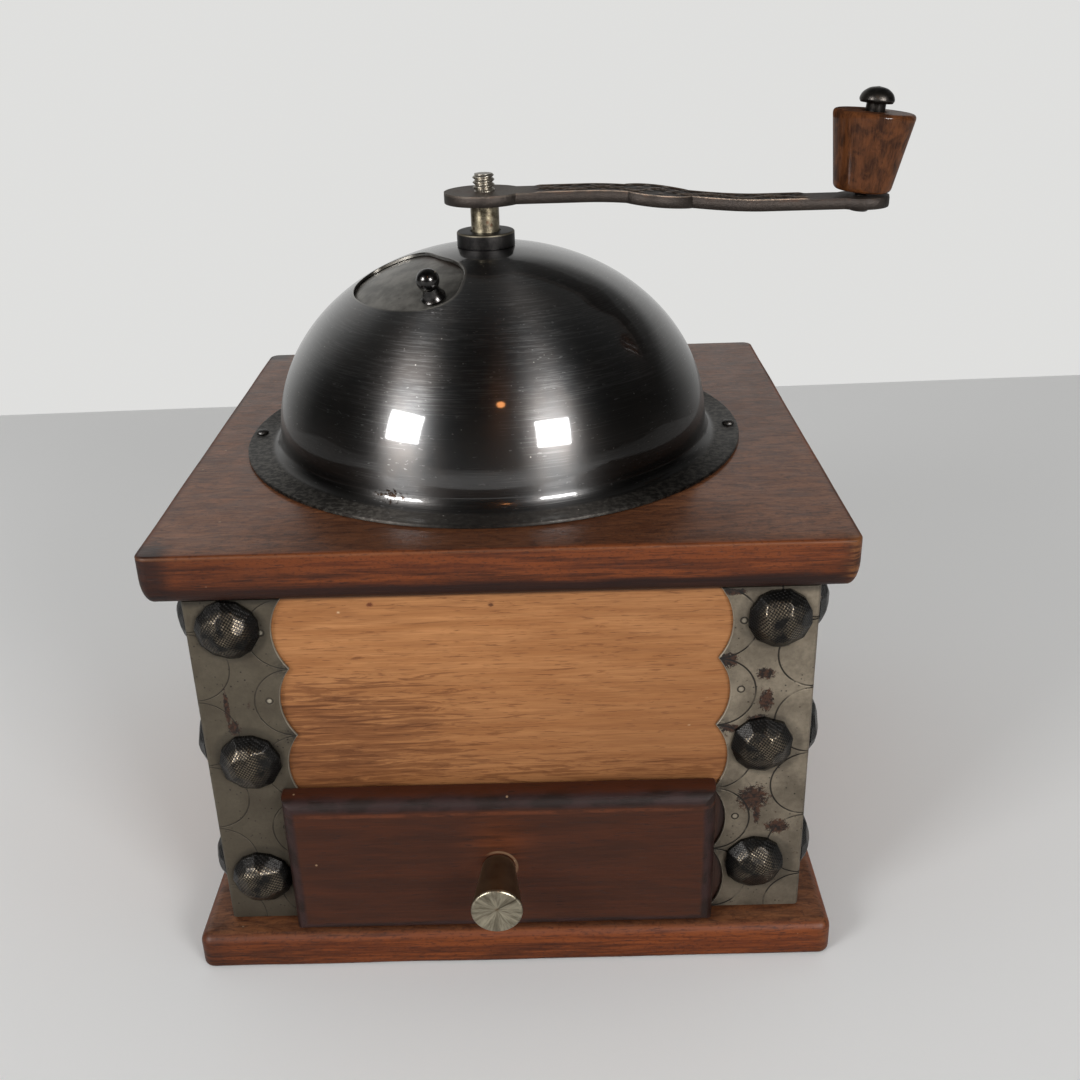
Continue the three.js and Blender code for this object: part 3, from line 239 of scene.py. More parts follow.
class Finish(Nodes):
    """A material. Its place is the object's own coordinates in millimetres, less a centre. Its
    colour is laid on in layers."""

    def __init__(self, name, centre=(0, 0, 0), **constants):
        self.material = bpy.data.materials.new(name)
        self.material.use_nodes = True
        super().__init__(self.material.node_tree)
        self.shader = self.tree.nodes["Principled BSDF"]
        own = self.node("TexCoord", {}, {}, 3)
        shift = tuple(-value for value in centre)
        scaled = {"Vector": own, "Scale": (1 / MM,) * 3, "Location": shift}
        self.place = self.node("Mapping", {}, scaled)
        self.x, self.y, self.z = self.axes(self.place)
        self.colour = None
        self.set(**constants)

    def set(self, **sockets):
        """Joins values to the shader's sockets; an underscore stands for a space in a name."""
        for socket, value in sockets.items():
            self.join(value, self.shader.inputs[socket.replace("_", " ")])
        return self

    def lay(self, share, shade):
        """Lays another colour over the colour, to a share of 0 to 1."""
        self.colour = self.mix(share, self.colour, shade)

    def noise_at(self, place, detail, rough, twist=0.0, scale=1.0):
        """Noise that is read at a place of its own, such as one that follows a turned surface."""
        facts = {"Vector": place, "Scale": scale, "Detail": detail, "Roughness": rough}
        return self.node("TexNoise", {}, {**facts, "Distortion": twist})

    def mapped(self, size, stretch, shift):
        """The place in units of size times stretch on each axis, and shifted."""
        scale = tuple(1 / (size * value) for value in stretch)
        return self.node("Mapping", {}, {"Vector": self.place, "Scale": scale, "Location": shift})

    def noise(self, size, seed, detail=3.0, rough=0.5, twist=0.0, stretch=(1, 1, 1)):
        """Cloudy noise about 0.5, its blots size millimetres across times stretch on each axis."""
        place = self.mapped(size, stretch, (seed * 17.3, seed * 9.1, seed * 5.7))
        return self.noise_at(place, detail, rough, twist)

    def blots(self, low, high, *noise, **facts):
        """Noise with its edges hardened: 0 below low and 1 above high."""
        return self.noise(*noise, **facts).smooth(low, high)

    def cells(self, size, seed, stretch=(1, 1, 1)):
        """The distance to the nearest of points strewn about size millimetres apart, as a share."""
        place = self.mapped(size, stretch, (seed * 11.9, seed * 7.7, seed * 3.1))
        return self.node("TexVoronoi", {}, {"Vector": place, "Scale": 1.0})

    def bump(self, height, depth, under=None):
        """A normal from a height of 0 to 1 that stands for depth millimetres."""
        facts = {"Height": height, "Distance": depth * MM}
        if under is not None:
            facts["Normal"] = under
        return self.node("Bump", {}, facts)

    def dress(self, *pieces, **sockets):
        """Joins the colour and other values to the shader and puts the material on the pieces."""
        self.set(**{"Base_Color": self.colour, **sockets})
        for piece in pieces:
            piece.data.materials.clear()
            piece.data.materials.append(self.material)


def lay_table():
    reach, back = TABLE_REACH * MM, TABLE_BACK * MM
    turn = Matrix.Rotation(math.radians(TABLE_TURN), 4, "Z")
    ends = [(-reach, -reach), (reach, -reach), (reach, back), (-reach, back)]
    mesh = bpy.data.meshes.new("table")
    mesh.from_pydata([turn @ Vector((x, y, TABLE_LEVEL * MM)) for x, y in ends], [], [(0, 1, 2, 3)])
    table = bpy.data.objects.new("table", mesh)
    bpy.context.scene.collection.objects.link(table)
    Finish("pale_table", Roughness=0.9).dress(table, Base_Color=TABLE_COLOUR)


lay_table()

# The base board: a board of red-brown stained wood that stands out beyond the box on all sides.
# All its arrises are rounded over; the stain has worn to orange along the edges.
BASE_SIZE = (167.5, 169.5)
BASE_HEIGHTS = (0, 10.3)
BASE_LOW_EDGE, BASE_HIGH_EDGE = (1.2, 1.2), (3, 3)
BASE_CORNER = 3.4
OUTLINE_STEP, ARC_STEPS = 2.5, 6
STAIN_DARK, STAIN_MID, STAIN_LIGHT = srgb(58, 28, 13), srgb(95, 44, 18), srgb(133, 68, 29)
STAIN_BLACK = srgb(27, 17, 16)
TOP_DULL, TOP_PALE = srgb(78, 47, 30), srgb(136, 87, 55)
WORN_GOLD = srgb(140, 90, 50)
BARE_WOOD = srgb(190, 158, 124)


def around(grid, shift, axis):
    """The grid shifted by one point along an axis; it runs round where its two ends are one."""
    first, last = grid.take([0], axis), grid.take([-1], axis)
    if np.allclose(first, last, atol=1e-6):
        turned = np.roll(np.delete(grid, -1, axis), shift, axis)
        return np.concatenate([turned, turned.take([0], axis)], axis)
    if shift > 0:
        return np.concatenate([first, np.delete(grid, -1, axis)], axis)
    return np.concatenate([np.delete(grid, 0, axis), last], axis)


def facing(grid):
    """The unit normal at each point: the cross product of the steps along the grid's two ways."""
    along = around(grid, -1, 0) - around(grid, 1, 0)
    across = around(grid, -1, 1) - around(grid, 1, 1)
    normal = np.cross(along, across)
    return normal / np.maximum(np.linalg.norm(normal, axis=-1, keepdims=True), 1e-9)


def waves(points, size, seed):
    """Slow unevenness from about -1 to 1: the mean of sine waves that run in chance directions."""
    chance = np.random.default_rng(seed)
    ways = chance.normal(size=(9, 3))
    ways /= np.linalg.norm(ways, axis=1)[:, None]
    ways *= 2 * math.pi / size * chance.uniform(0.6, 1.5, 9)[:, None]
    return np.sin(points @ ways.T + chance.uniform(0, 7, 9)).mean(-1) * 1.6


def surface(name, *grids, smooth_below=38, **marks):
    """A mesh from grids of points in millimetres: neighbours are joined by quads, points that fall
    together become one, and the faces are turned outwards. Marks are values kept at the points."""
    points = np.concatenate([grid.reshape(-1, 3) for grid in grids])
    quads, start = [], 0
    for grid in grids:
        rows, columns = grid.shape[:2]
        index = np.arange(rows * columns).reshape(rows, columns) + start
        corners = index[:-1, :-1], index[1:, :-1], index[1:, 1:], index[:-1, 1:]
        quads.append(np.stack(corners, -1).reshape(-1, 4))
        start += rows * columns
    _, kept, same = np.unique(np.round(points, 4), axis=0, return_index=True, return_inverse=True)
    quads = same.reshape(-1)[np.concatenate(quads)]
    apart = quads != np.roll(quads, 1, axis=1)
    crossed = (quads[:, 0] == quads[:, 2]) | (quads[:, 1] == quads[:, 3])
    whole = quads[apart.all(1) & ~crossed]
    thin = (apart.sum(1) == 3) & ~crossed
    faces = whole.tolist() + quads[thin][apart[thin]].reshape(-1, 3).tolist()
    mesh = bpy.data.meshes.new(name)
    mesh.from_pydata(points[kept] * MM, [], faces)
    for mark, values in marks.items():
        layer = mesh.attributes.new(mark, "FLOAT_VECTOR", "POINT")
        flat = np.concatenate([value.reshape(-1, 3) for value in values])[kept]
        layer.data.foreach_set("vector", flat.astype(np.float32).ravel())
    shaper = bmesh.new()
    shaper.from_mesh(mesh)
    bmesh.ops.recalc_face_normals(shaper, faces=shaper.faces)
    shaper.to_mesh(mesh)
    shaper.free()
    mesh.polygons.foreach_set("use_smooth", np.ones(len(mesh.polygons), bool))
    mesh.set_sharp_from_angle(angle=math.radians(smooth_below))
    piece = bpy.data.objects.new(name, mesh)
    bpy.context.scene.collection.objects.link(piece)
    return piece


def solids(*nodes):
    """Pieces of the solid model that are shown as they are, by the names of their nodes."""
    return [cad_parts[node] for node in nodes]


def fit(piece, node, body="root"):
    """The piece rides on a body, and the solid model's node whose place it takes is hidden."""
    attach(piece, body)
    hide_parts(node)
    return piece


def rounded_outline(width, depth, radius):
    """A centred rectangle with round corners, as points in order; the last is the first again."""
    turns = np.radians(np.arange(4) * 90)[:, None] + np.linspace(0, math.pi / 2, ARC_STEPS + 1)
    centres = np.array([[1, 1], [-1, 1], [-1, -1], [1, -1]]) * [width / 2 - radius, depth / 2 - radius]
    arcs = centres[:, None] + radius * np.stack([np.cos(turns), np.sin(turns)], -1)
    starts, ends = arcs[:, -1, None], np.roll(arcs[:, 0], -1, axis=0)[:, None]
    shares = np.linspace(0, 1, round(max(BASE_SIZE) / OUTLINE_STEP) + 1)[1:-1, None]
    sides = starts + (ends - starts) * shares
    loop = np.concatenate([arcs, sides], axis=1).reshape(-1, 2)
    return np.concatenate([loop, loop[:1]])


def spread(first, last, count):
    """Rows in even steps from a first row, which is left out, to a last one."""
    shares = np.linspace(0, 1, count + 1)[1:].reshape(-1, *[1] * first.ndim)
    return first * (1 - shares) + last * shares


def board(size, heights, low_edge, high_edge, corner, well=None, uneven=0.1, seed=1):
    """A board as rings of its outline, which run from the middle of its underside out, up its side
    and in over its top. An edge is a quarter ellipse (inset, rise), and a ring is the outline shrunk
    by its inset. With a well (x, y, radius), the rings end on that circle and a wall joins them."""
    (width, depth), (low, high) = size, heights
    turn = np.linspace(0, math.pi / 2, 8)
    bend = np.stack([1 - np.sin(turn), 1 - np.cos(turn)], -1)
    under = bend * low_edge + [0, low]
    over = (bend * high_edge * [1, -1] + [0, high])[::-1]
    side = np.stack([np.zeros(3), np.linspace(under[-1, 1], over[0, 1], 5)[1:-1]], -1)
    rings = []
    for inset, height in np.concatenate([[under[0] + [6, 0]], under, side, over, [over[-1] + [6, 0]]]):
        ring = rounded_outline(width - 2 * inset, depth - 2 * inset, max(corner - inset, 0.05))
        rings.append(np.column_stack([ring, np.full(len(ring), height)]))
    rings = np.stack(rings)
    edge = rings[len(rings) // 2, :, :2]
    if well:
        spokes = edge - well[:2]
        hub = well[:2] + spokes / np.linalg.norm(spokes, axis=1)[:, None] * well[2]
    else:
        spine = np.array([max(width - depth, 0), max(depth - width, 0)]) / 2
        hub = np.clip(edge, -spine, spine)
    low_hub, high_hub = (np.column_stack([hub, np.full(len(hub), z)]) for z in heights)
    rows = [low_hub[None], spread(low_hub, rings[0], 14), rings[1:], spread(rings[-1], high_hub, 14)]
    if well:
        rows.append(spread(high_hub, low_hub, 5))
    grid = np.concatenate(rows)
    lift = waves(grid, 45, seed) * uneven
    if not well:
        lift[[0, -1]] = 0
    return grid + facing(grid) * lift[..., None]


def grain(finish, along, seed, streak=7.0, fibre=0.5):
    """A board's broad streaks, fine fibres and dark pores, each 0 to 1: three noises, every one
    drawn out along the grain's axis."""
    def drawn(length):
        return tuple(length if axis == along else 1 for axis in "xyz")

    streaks = finish.noise(streak, seed, 4.0, 0.62, 0.8, stretch=drawn(10))
    fibres = finish.noise(fibre, seed + 1, 3.0, 0.6, stretch=drawn(26))
    pores = finish.noise(0.34, seed + 2, 1.0, stretch=drawn(11))
    patterns = (streaks, 0.32, 0.68), (fibres, 0.3, 0.7), (pores, 0.62, 0.74)
    return [noise.smooth(low, high) for noise, low, high in patterns]


def stained_board(name, size, heights, seed, shade_band, corners):
    """Red-brown stain: orange where the edges are rubbed, and black as painted shade in a strip of
    that height along the foot of the sides and over the underside. As far as corners says, the left
    corners are black and the right ones gold. The top face is painted darker in front of the dome,
    as its shade and reflection. There are pale nicks, and the varnish is whole only on top."""
    finish = Finish(name, (0, 0, heights[0]), IOR=1.25, Coat_Roughness=0.2, Coat_IOR=1.5)
    streaks, fibres, pores = grain(finish, "x", seed)
    finish.colour = finish.mix(streaks, STAIN_DARK, STAIN_MID)
    finish.lay(fibres * 0.5, STAIN_LIGHT)
    thick = heights[1] - heights[0]
    out_x = abs(finish.x) - size[0] / 2
    out_y = abs(finish.y) - size[1] / 2
    out = finish.most(out_x, out_y)
    side = out.smooth(-5.2, -3.4) * finish.z.smooth(thick * 0.7, thick * 0.45)
    side = finish.most(side, out.smooth(-2.0, -0.9))
    top = finish.z.smooth(thick - 0.9, thick - 0.15) * (1 - out.smooth(-1.2, -0.5))
    figure = finish.noise(2.4, seed + 9, 6.0, 0.75, 1.2, stretch=(4, 1, 1))
    flat = finish.mix(figure.smooth(0.32, 0.68), TOP_DULL, TOP_PALE)
    finish.lay(top * 0.82, flat)
    # Painted shade and reflection of the dome, darker on the top face in front of it; the coat is thinned
    # there too.
    painted_dome_shade = abs(finish.x).smooth(72, 34) * finish.y.smooth(-52, -68)
    finish.lay(top * painted_dome_shade * 0.5, STAIN_DARK)
    rub = finish.noise(2.2, seed + 3, 4.0, 0.7, stretch=(12, 12, 0.7))
    shoulder = finish.z.smooth(thick * 0.45, thick * 0.85)
    rubbed = side * (rub + shoulder * 0.1).smooth(0.5, 0.64)
    finish.lay(rubbed * 0.75, STAIN_LIGHT)
    # Black along the foot of the sides and over the underside: painted shade, with a ragged upper edge.
    dirt_and_shade = finish.noise(2.6, seed + 4, 3.0, 0.6, stretch=(7, 7, 0.8))
    foot = side * (finish.z + dirt_and_shade * 2.2).smooth(shade_band + 3.0, shade_band + 1.2)
    foot = finish.most(foot, finish.z.smooth(0.5, 0.15))
    finish.lay(foot * 0.88, STAIN_BLACK)
    left = side * finish.x.smooth(-20, -size[0] / 2)
    finish.lay(left * 0.35, STAIN_DARK)
    finish.lay(side * corners * 0.2, STAIN_BLACK)
    cornered = finish.least(out_x, out_y)
    leftward = finish.x.smooth(5, -5)
    corner = (cornered + leftward * 3).smooth(-6.5, -1.5) * corners
    drawn = finish.blots(0.4, 0.62, 2.0, seed + 5, 3.0, 0.55, stretch=(4, 4, 0.5))
    ended = cornered.smooth(-4.2, -2.0)
    golden = finish.mix(drawn * (0.25 + ended * 0.4), STAIN_DARK, WORN_GOLD)
    dirty = finish.mix(drawn * 0.18, STAIN_BLACK, STAIN_MID)
    rounded = finish.mix(leftward, golden, dirty)
    finish.lay(corner * 0.85, rounded)
    some = finish.blots(0.5, 0.56, 16, seed + 6, 1.0)
    ragged = finish.noise(0.8, seed + 11, 3.0, 0.7) * 0.05
    nick = (finish.cells(5.5, seed, stretch=(1.3, 1, 0.9)) + ragged).smooth(0.09, 0.06) * some
    finish.lay(nick * 0.5, BARE_WOOD)
    arris = abs(finish.z - thick + 0.5).smooth(0.55, 0.1) * out.smooth(-1.4, -0.7)
    finish.lay(arris * rub * 0.5, WORN_GOLD)
    specks = finish.blots(0.52, 0.68, 0.55, seed + 12, 2.0, 0.7, stretch=(2.4, 2.4, 1))
    finish.lay(specks * 0.35, STAIN_BLACK)
    finish.lay(pores * (0.5 - top * 0.2), STAIN_BLACK)
    worn = finish.noise(5, seed + 7, 4.0, 0.6, stretch=(2, 1, 1))
    gloss = 0.36 + worn * 0.22 + pores * 0.15 + nick * 0.2
    normal = finish.bump(fibres * 0.4 + (1 - pores) * 0.6 - nick, 0.05)
    normal = finish.bump(finish.noise(2.2, seed + 8, 3.0, stretch=(1.5, 1, 1)), 0.06, normal)
    coat = top * (0.62 - worn * 0.3) * (1 - painted_dome_shade * 0.75)
    return finish.set(Roughness=gloss, Normal=normal, Coat_Weight=coat)


base_grid = board(BASE_SIZE, BASE_HEIGHTS, BASE_LOW_EDGE, BASE_HIGH_EDGE, BASE_CORNER)
base_board = fit(surface("base_board_wood", base_grid), "base_board")
stained_board("base_stain", BASE_SIZE, BASE_HEIGHTS, 3.0, -0.6, 0.35).dress(base_board)

# The box: long side walls, a light front panel over the drawer's opening, a back, and two dark
# stiles beside the opening. Flat boards glued at the corners, stained lightly and varnished.
PANEL_LIGHT, PANEL_MID, PANEL_DARK = srgb(188, 132, 84), srgb(166, 111, 66), srgb(112, 68, 37)
PANEL_BROWN = srgb(84, 48, 26)
DARK_WOOD, DARKER_WOOD = srgb(66, 41, 30), srgb(38, 23, 18)


def pale_wood(name, along, seed, smudge):
    """Light tan wood: fine fibres, dark drawn-out streaks where smudge is high, darker towards the
    bottom and the right, a painted shadow just under the top board, and a few pale nicks.
    """
    finish = Finish(name, IOR=1.25)
    streaks, fibres, pores = grain(finish, along, seed, 5.0, 0.4)
    finish.colour = finish.mix(streaks, PANEL_MID, PANEL_LIGHT)
    finish.lay(fibres * 0.38, PANEL_DARK)
    stretch = tuple(12 if axis == along else 1 for axis in "xyz")
    figure = finish.noise(1.7, seed + 3, 6.0, 0.66, 1.8, stretch=stretch)
    shade = smudge(finish)
    dark = (figure + shade * 0.22).smooth(0.57, 0.67)
    finish.lay(dark * 0.7, PANEL_DARK)
    darkest = (figure + shade * 0.2).smooth(0.68, 0.78)
    finish.lay(darkest * 0.8, PANEL_BROWN)
    finish.lay(shade * 0.22, PANEL_DARK)
    # Darker towards the bottom and the right.
    low_right_darker = finish.z.smooth(100, 50) * 0.28 + finish.x.smooth(-15, 45) * 0.2
    finish.lay(low_right_darker, PANEL_DARK)
    # Painted shadow in a strip just under the top board.
    shadow_under_top_board = finish.z.smooth(105.6, 106.7)
    finish.lay(shadow_under_top_board * 0.94, STAIN_BLACK)
    finish.lay(pores * 0.45, PANEL_BROWN)
    some = finish.blots(0.55, 0.6, 22, seed + 5, 1.0)
    nick = finish.cells(7, seed, stretch=(1.5, 1, 0.6)).smooth(0.07, 0.045) * some
    finish.lay(nick * 0.6, BARE_WOOD)
    gloss = 0.42 + finish.noise(7, seed + 6, stretch=(2, 1, 1)) * 0.16 + pores * 0.1
    normal = finish.bump(fibres * 0.5 + (1 - pores) * 0.5, 0.03)
    return finish.set(Roughness=gloss, Normal=normal)


def front_smudge(finish):
    """Dirt on the front panel: in its lower left third and along its foot."""
    left = finish.x.smooth(12, -46) * finish.z.smooth(92, 70)
    foot = finish.z.smooth(66, 52) * 0.5
    return finish.most(left, foot)


def wall_smudge(finish):
    """Dirt along the foot of the other walls."""
    return finish.z.smooth(50, 15) * 0.5


# Small knocks near the panel's top: place across, height, size and colour
PANEL_MARKS = [
    (-31.1, 104.2, 1.4, srgb(86, 32, 18)),
    (-38.9, 102.4, 0.9, srgb(224, 196, 158)),
    (-2.4, 103.3, 1.2, srgb(74, 38, 24)),
]
panel = pale_wood("panel_wood", "x", 5.0, front_smudge)
mark_ragged = panel.noise(1.2, 51.0, 4.0, 0.7)
for mark_x, mark_z, mark_size, mark_shade in PANEL_MARKS:
    mark_off = panel.length(panel.x - mark_x, (panel.z - mark_z) * 1.4)
    mark = (mark_off + mark_ragged * 1.6).smooth(mark_size + 0.5, mark_size - 0.1)
    panel.lay(mark * 0.8, mark_shade)
panel.dress(*solids("front_panel"))
pale_wood("back_wood", "x", 9.0, wall_smudge).dress(*solids("back_wall"))
pale_wood("side_wood", "y", 13.0, wall_smudge).dress(*solids("left_wall", "right_wall"))


def dark_wood(name, along, seed):
    """Dark mahogany-brown wood with fine fibres and a satin varnish."""
    finish = Finish(name, IOR=1.3)
    streaks, fibres, pores = grain(finish, along, seed, 6.0, 0.5)
    finish.colour = finish.mix(streaks, DARKER_WOOD, DARK_WOOD)
    finish.lay(fibres * 0.3, STAIN_DARK)
    normal = finish.bump(fibres * 0.5 + (1 - pores) * 0.5, 0.04)
    return finish.set(Roughness=0.4 + pores * 0.2, Normal=normal)


dark_wood("stile_wood", "z", 17.0).dress(*solids("left_stile", "right_stile"))

# The top board: the same stained wood as the base, with a well in it that the mill hangs in.
# Its upper arris is rounded less than its lower one, and its front corners are the most worn.
TOP_SIZE = (167.3, 164.8)
TOP_HEIGHTS = (108.2, 120.5)
TOP_LOW_EDGE, TOP_HIGH_EDGE, TOP_CORNER = (2.6, 6.0), (0.8, 0.7), 3.0
AXIS = np.array([-3.0, -2.1])
WELL_RADIUS = 43.3
top_grid = board(TOP_SIZE, TOP_HEIGHTS, TOP_LOW_EDGE, TOP_HIGH_EDGE, TOP_CORNER,
                 (*AXIS, WELL_RADIUS), seed=2)
top_board = fit(surface("top_board_wood", top_grid), "top_board")
stained_board("top_stain", TOP_SIZE, TOP_HEIGHTS, 21.0, 2.9, 1.0).dress(top_board)

# The corner straps: thin sheet steel folded round the four corners of the box and nailed there.
# Each leg's free edge is cut in five scallops, and arcs and small rings are engraved on the sheet.
STRAP_FOLD = (75.8, 77.75)
STRAP_HEIGHTS = (11.1, 106.7)
STRAP_CORNERS = {"front_left": (-1, -1), "front_right": (1, -1), "back_left": (-1, 1), "back_right": (1, 1)}
STRAP_LEG, STRAP_THICK, STRAP_BEND = 23.75, 0.8, 1.1
SCALLOPS, SCALLOP_DEPTH = 5, 3.2
SCALLOP_PITCH = (STRAP_HEIGHTS[1] - STRAP_HEIGHTS[0]) / SCALLOPS
SCALLOP_ARC = SCALLOP_PITCH**2 / (8 * SCALLOP_DEPTH) + SCALLOP_DEPTH / 2
SCALLOP_CENTRE = STRAP_LEG - SCALLOP_DEPTH + SCALLOP_ARC
STRAP_EASE, FOLD_REACH = [0.15, 0.65], 2.4
# Engraved and stamped on each leg, by the distance from the fold and a radius: the arcs of two
# rows, and the small rings, which lie a little above the middle of a scallop
INNER_ARC, OUTER_ARC = (23.75, 9.45), (0, 9.3)
RING_OUT, RING_RADIUS, RING_LIFT = 17.95, 0.85, 0.7
NAIL_OUT, NAIL_LEVELS = 10.85, (25.7, 62.3, 98.9)
STRAP_DULL = srgb(64, 57, 48)
# The left straps and the paler right ones: shade, width of the grooves, share of the soot in the
# arcs and in the rings, share of the dull foot, and share of bare steel in the rings' middles
LEFT_STRAPS = (srgb(90, 83, 71), 0.22, 0.45, 0.55, 0.5, 0.4)
RIGHT_STRAPS = (srgb(130, 120, 105), 0.29, 0.75, 0.9, 0.38, 0.15)
RUST_DARK, RUST_RED = srgb(30, 21, 15), srgb(66, 40, 26)
SOOT, BARE_STEEL = srgb(24, 22, 20), srgb(205, 196, 178)
# Rust on the front straps: leg distance, height, and half the spread both ways
RUST_LEFT = [(7.2, 77, 0.7, 6), (8.2, 71, 1.6, 2.6), (16.5, 60.5, 1.5, 1.2)]
RUST_RIGHT = [(12.1, 83, 2.6, 1.6), (11.6, 75.4, 1.9, 3.4), (13.3, 70.2, 3.0, 1.2),
              (13.6, 46.2, 4.2, 4.4), (12.4, 41, 1.0, 3.4), (21.3, 105.6, 4.0, 1.0),
              (20.3, 67.5, 2.6, 1.4), (21.4, 87, 2.6, 2.2), (6.8, 37, 3.4, 2.4)]


def strap_sheet(side, end):
    """A loop of columns runs over the front of both legs, from one scalloped edge round the fold to
    the other, and back behind; rows run up the strap. An edge is where the scallop's circle is."""
    height = np.linspace(*STRAP_HEIGHTS, SCALLOPS * 36 + 1)[:, None]
    off = (height - STRAP_HEIGHTS[0]) % SCALLOP_PITCH - SCALLOP_PITCH / 2
    edge = SCALLOP_CENTRE - np.sqrt(SCALLOP_ARC**2 - off**2)
    near, shares = np.linspace(0, FOLD_REACH, 11), np.linspace(0, 1, 42)[1:]
    flat = edge - STRAP_EASE[0] - FOLD_REACH
    leg = np.concatenate([near + 0 * edge, FOLD_REACH + flat * shares], axis=1)
    front = np.concatenate([-leg[:, :0:-1], leg], axis=1)
    sides = np.concatenate([edge, edge], axis=1)
    across = np.concatenate([front, sides, front[:, ::-1], -sides, front[:, :1]], axis=1)
    count = front.shape[1]
    into = np.concatenate([np.zeros(count), STRAP_EASE, np.full(count, STRAP_THICK), STRAP_EASE[::-1], [0]])
    sag = waves(np.stack([across, height + 0 * across, side * end + 0 * across], -1), 40, 7) * 0.06
    bend = np.clip((across + STRAP_BEND) / (2 * STRAP_BEND), 0, 1) * math.pi / 2
    middle = np.full((1, across.shape[1]), STRAP_THICK / 2)
    depth = np.concatenate([middle, into + 0 * across, middle])
    across, bend, sag, height = (np.concatenate([v[:1], v, v[-1:]]) for v in (across, bend, sag, height))
    depth = depth + sag * np.clip(np.abs(across) / 4 - 0.5, 0, 1)
    bent = STRAP_BEND * (1 - np.stack([np.cos(bend), np.sin(bend)]))
    past_end, past_side = np.maximum(across, STRAP_BEND), np.maximum(-across, STRAP_BEND)
    along = bent[0] + (past_end - STRAP_BEND) + depth * np.cos(bend)
    behind = bent[1] + (past_side - STRAP_BEND) + depth * np.sin(bend)
    x, y = side * (STRAP_FOLD[0] - along), end * (STRAP_FOLD[1] - behind)
    sheet = np.stack([across, height + 0 * across, side + 0 * across], -1)
    return np.stack([x, y, height + 0 * x], -1), sheet


def strap_steel(name, seed, looks, rust):
    """Dull steel: mottled grey with dark specks, sooty grooves and sooty points on the scallops, a
    painted shadow round the nails, painted shade at the top under the top board, a bright cut edge,
    and rust where the list of rust patches says."""
    shade, wide, arcs_sooty, rings_sooty, dull_foot, bare = looks
    finish = Finish(name, Metallic=0.72, IOR=1.3)
    sheet = finish.node("Attribute", {"attribute_name": "sheet"}, {}, 1)
    across, height, _ = finish.axes(sheet)
    leg = abs(across)

    def beat_from(start):
        """The height over the middle of the nearest scallop, if the first began at the start."""
        return (height - start) % SCALLOP_PITCH - SCALLOP_PITCH / 2

    def line(distance, radius, width):
        return 1 - abs(distance - radius).smooth(width * 0.4, width)

    beat = beat_from(STRAP_HEIGHTS[0] - 10 * SCALLOP_PITCH)
    counter = beat_from(STRAP_HEIGHTS[0] - 10.5 * SCALLOP_PITCH + 0.9)
    fade = finish.blots(0.32, 0.5, 7, seed + 1)
    grooves = [line(finish.length(leg - out, rise), radius, wide)
               for (out, radius), rise in ((INNER_ARC, beat), (OUTER_ARC, counter))]
    from_ring = finish.length(leg - RING_OUT, beat - RING_LIFT)
    rings = line(from_ring, RING_RADIUS, 0.26)
    cut = finish.most(finish.most(*grooves) * (0.25 + fade * arcs_sooty), rings * rings_sooty)
    edge = SCALLOP_CENTRE - (SCALLOP_ARC**2 - beat**2) ** 0.5
    clouds = finish.noise(9, seed + 2, 4.0, 0.6)
    fine = finish.noise(0.9, seed + 3, 3.0, 0.6)
    finish.colour = finish.mix(0.45 + clouds.smooth(0.3, 0.7) * 0.55, STRAP_DULL, shade)
    finish.lay(fine.smooth(0.35, 0.7) * 0.22, STRAP_DULL)
    finish.lay(height.smooth(75, 15) * dull_foot, STRAP_DULL)
    speck = finish.cells(1.5, seed).smooth(0.2, 0.09)
    speck = speck * finish.blots(0.42, 0.6, 5, seed + 4)
    finish.lay(speck * 0.8, SOOT)
    veins = finish.noise(1.5, seed + 5, 6.0, 0.8, 1.8)
    spots = []
    for where, level, broad, tall in rust:
        spot = 1 - finish.length((leg - where) / broad, (height - level) / tall)
        spots.append((veins + finish.most(spot, -0.6) * 0.34).smooth(0.52, 0.56))
    stray = finish.blots(0.62, 0.72, 3.4, seed + 6, 5.0, 0.75)
    rusty = finish.most(*spots, stray * 0.7)
    finish.lay(rusty, finish.mix(fine.smooth(0.4, 0.62), RUST_DARK, RUST_RED))
    tip = leg.smooth(18.3, 23.2) * abs(beat).smooth(5.5, 9.2)
    # Painted shadow in a ring round each nail head, and painted shade at the top of the strap under the top
    # board.
    nail_shadow_rings = [finish.length(leg - NAIL_OUT, height - level).smooth(9.6, 8.2)
             for level in NAIL_LEVELS]
    soot_and_shade = finish.most(tip * veins.smooth(0.35, 0.6) * 0.8, finish.most(*nail_shadow_rings) * 0.3,
                       height.smooth(104.5, 106.4) * 0.6)
    finish.lay(soot_and_shade, SOOT)
    finish.lay(cut * 0.9, SOOT)
    bright = (edge - leg).smooth(0.3, 0.1)
    finish.lay(bright * 0.3, BARE_STEEL)
    finish.lay(from_ring.smooth(0.62, 0.4) * bare, BARE_STEEL)
    rough = 0.5 + clouds * 0.12 + finish.most(rusty, cut) * 0.3 - bright * 0.15
    normal = finish.bump(1 - cut, 0.16)
    normal = finish.bump(fine * 0.6 - rusty * 0.4 + veins * 0.2, 0.05, normal)
    return finish.set(Roughness=rough, Normal=normal, Metallic=0.72 - rusty * 0.6 - soot_and_shade * 0.4)


straps = {-1: [], 1: []}
for strap_name, (strap_side, strap_end) in STRAP_CORNERS.items():
    strap_points, strap_marks = strap_sheet(strap_side, strap_end)
    strap = surface(f"strap_{strap_name}", strap_points, sheet=[strap_marks])
    straps[strap_side].append(fit(strap, f"corner_strap_{strap_name}"))
strap_steel("strap_steel_left", 31.0, LEFT_STRAPS, RUST_LEFT).dress(*straps[-1])
strap_steel("strap_steel_right", 37.0, RIGHT_STRAPS, RUST_RIGHT).dress(*straps[1])

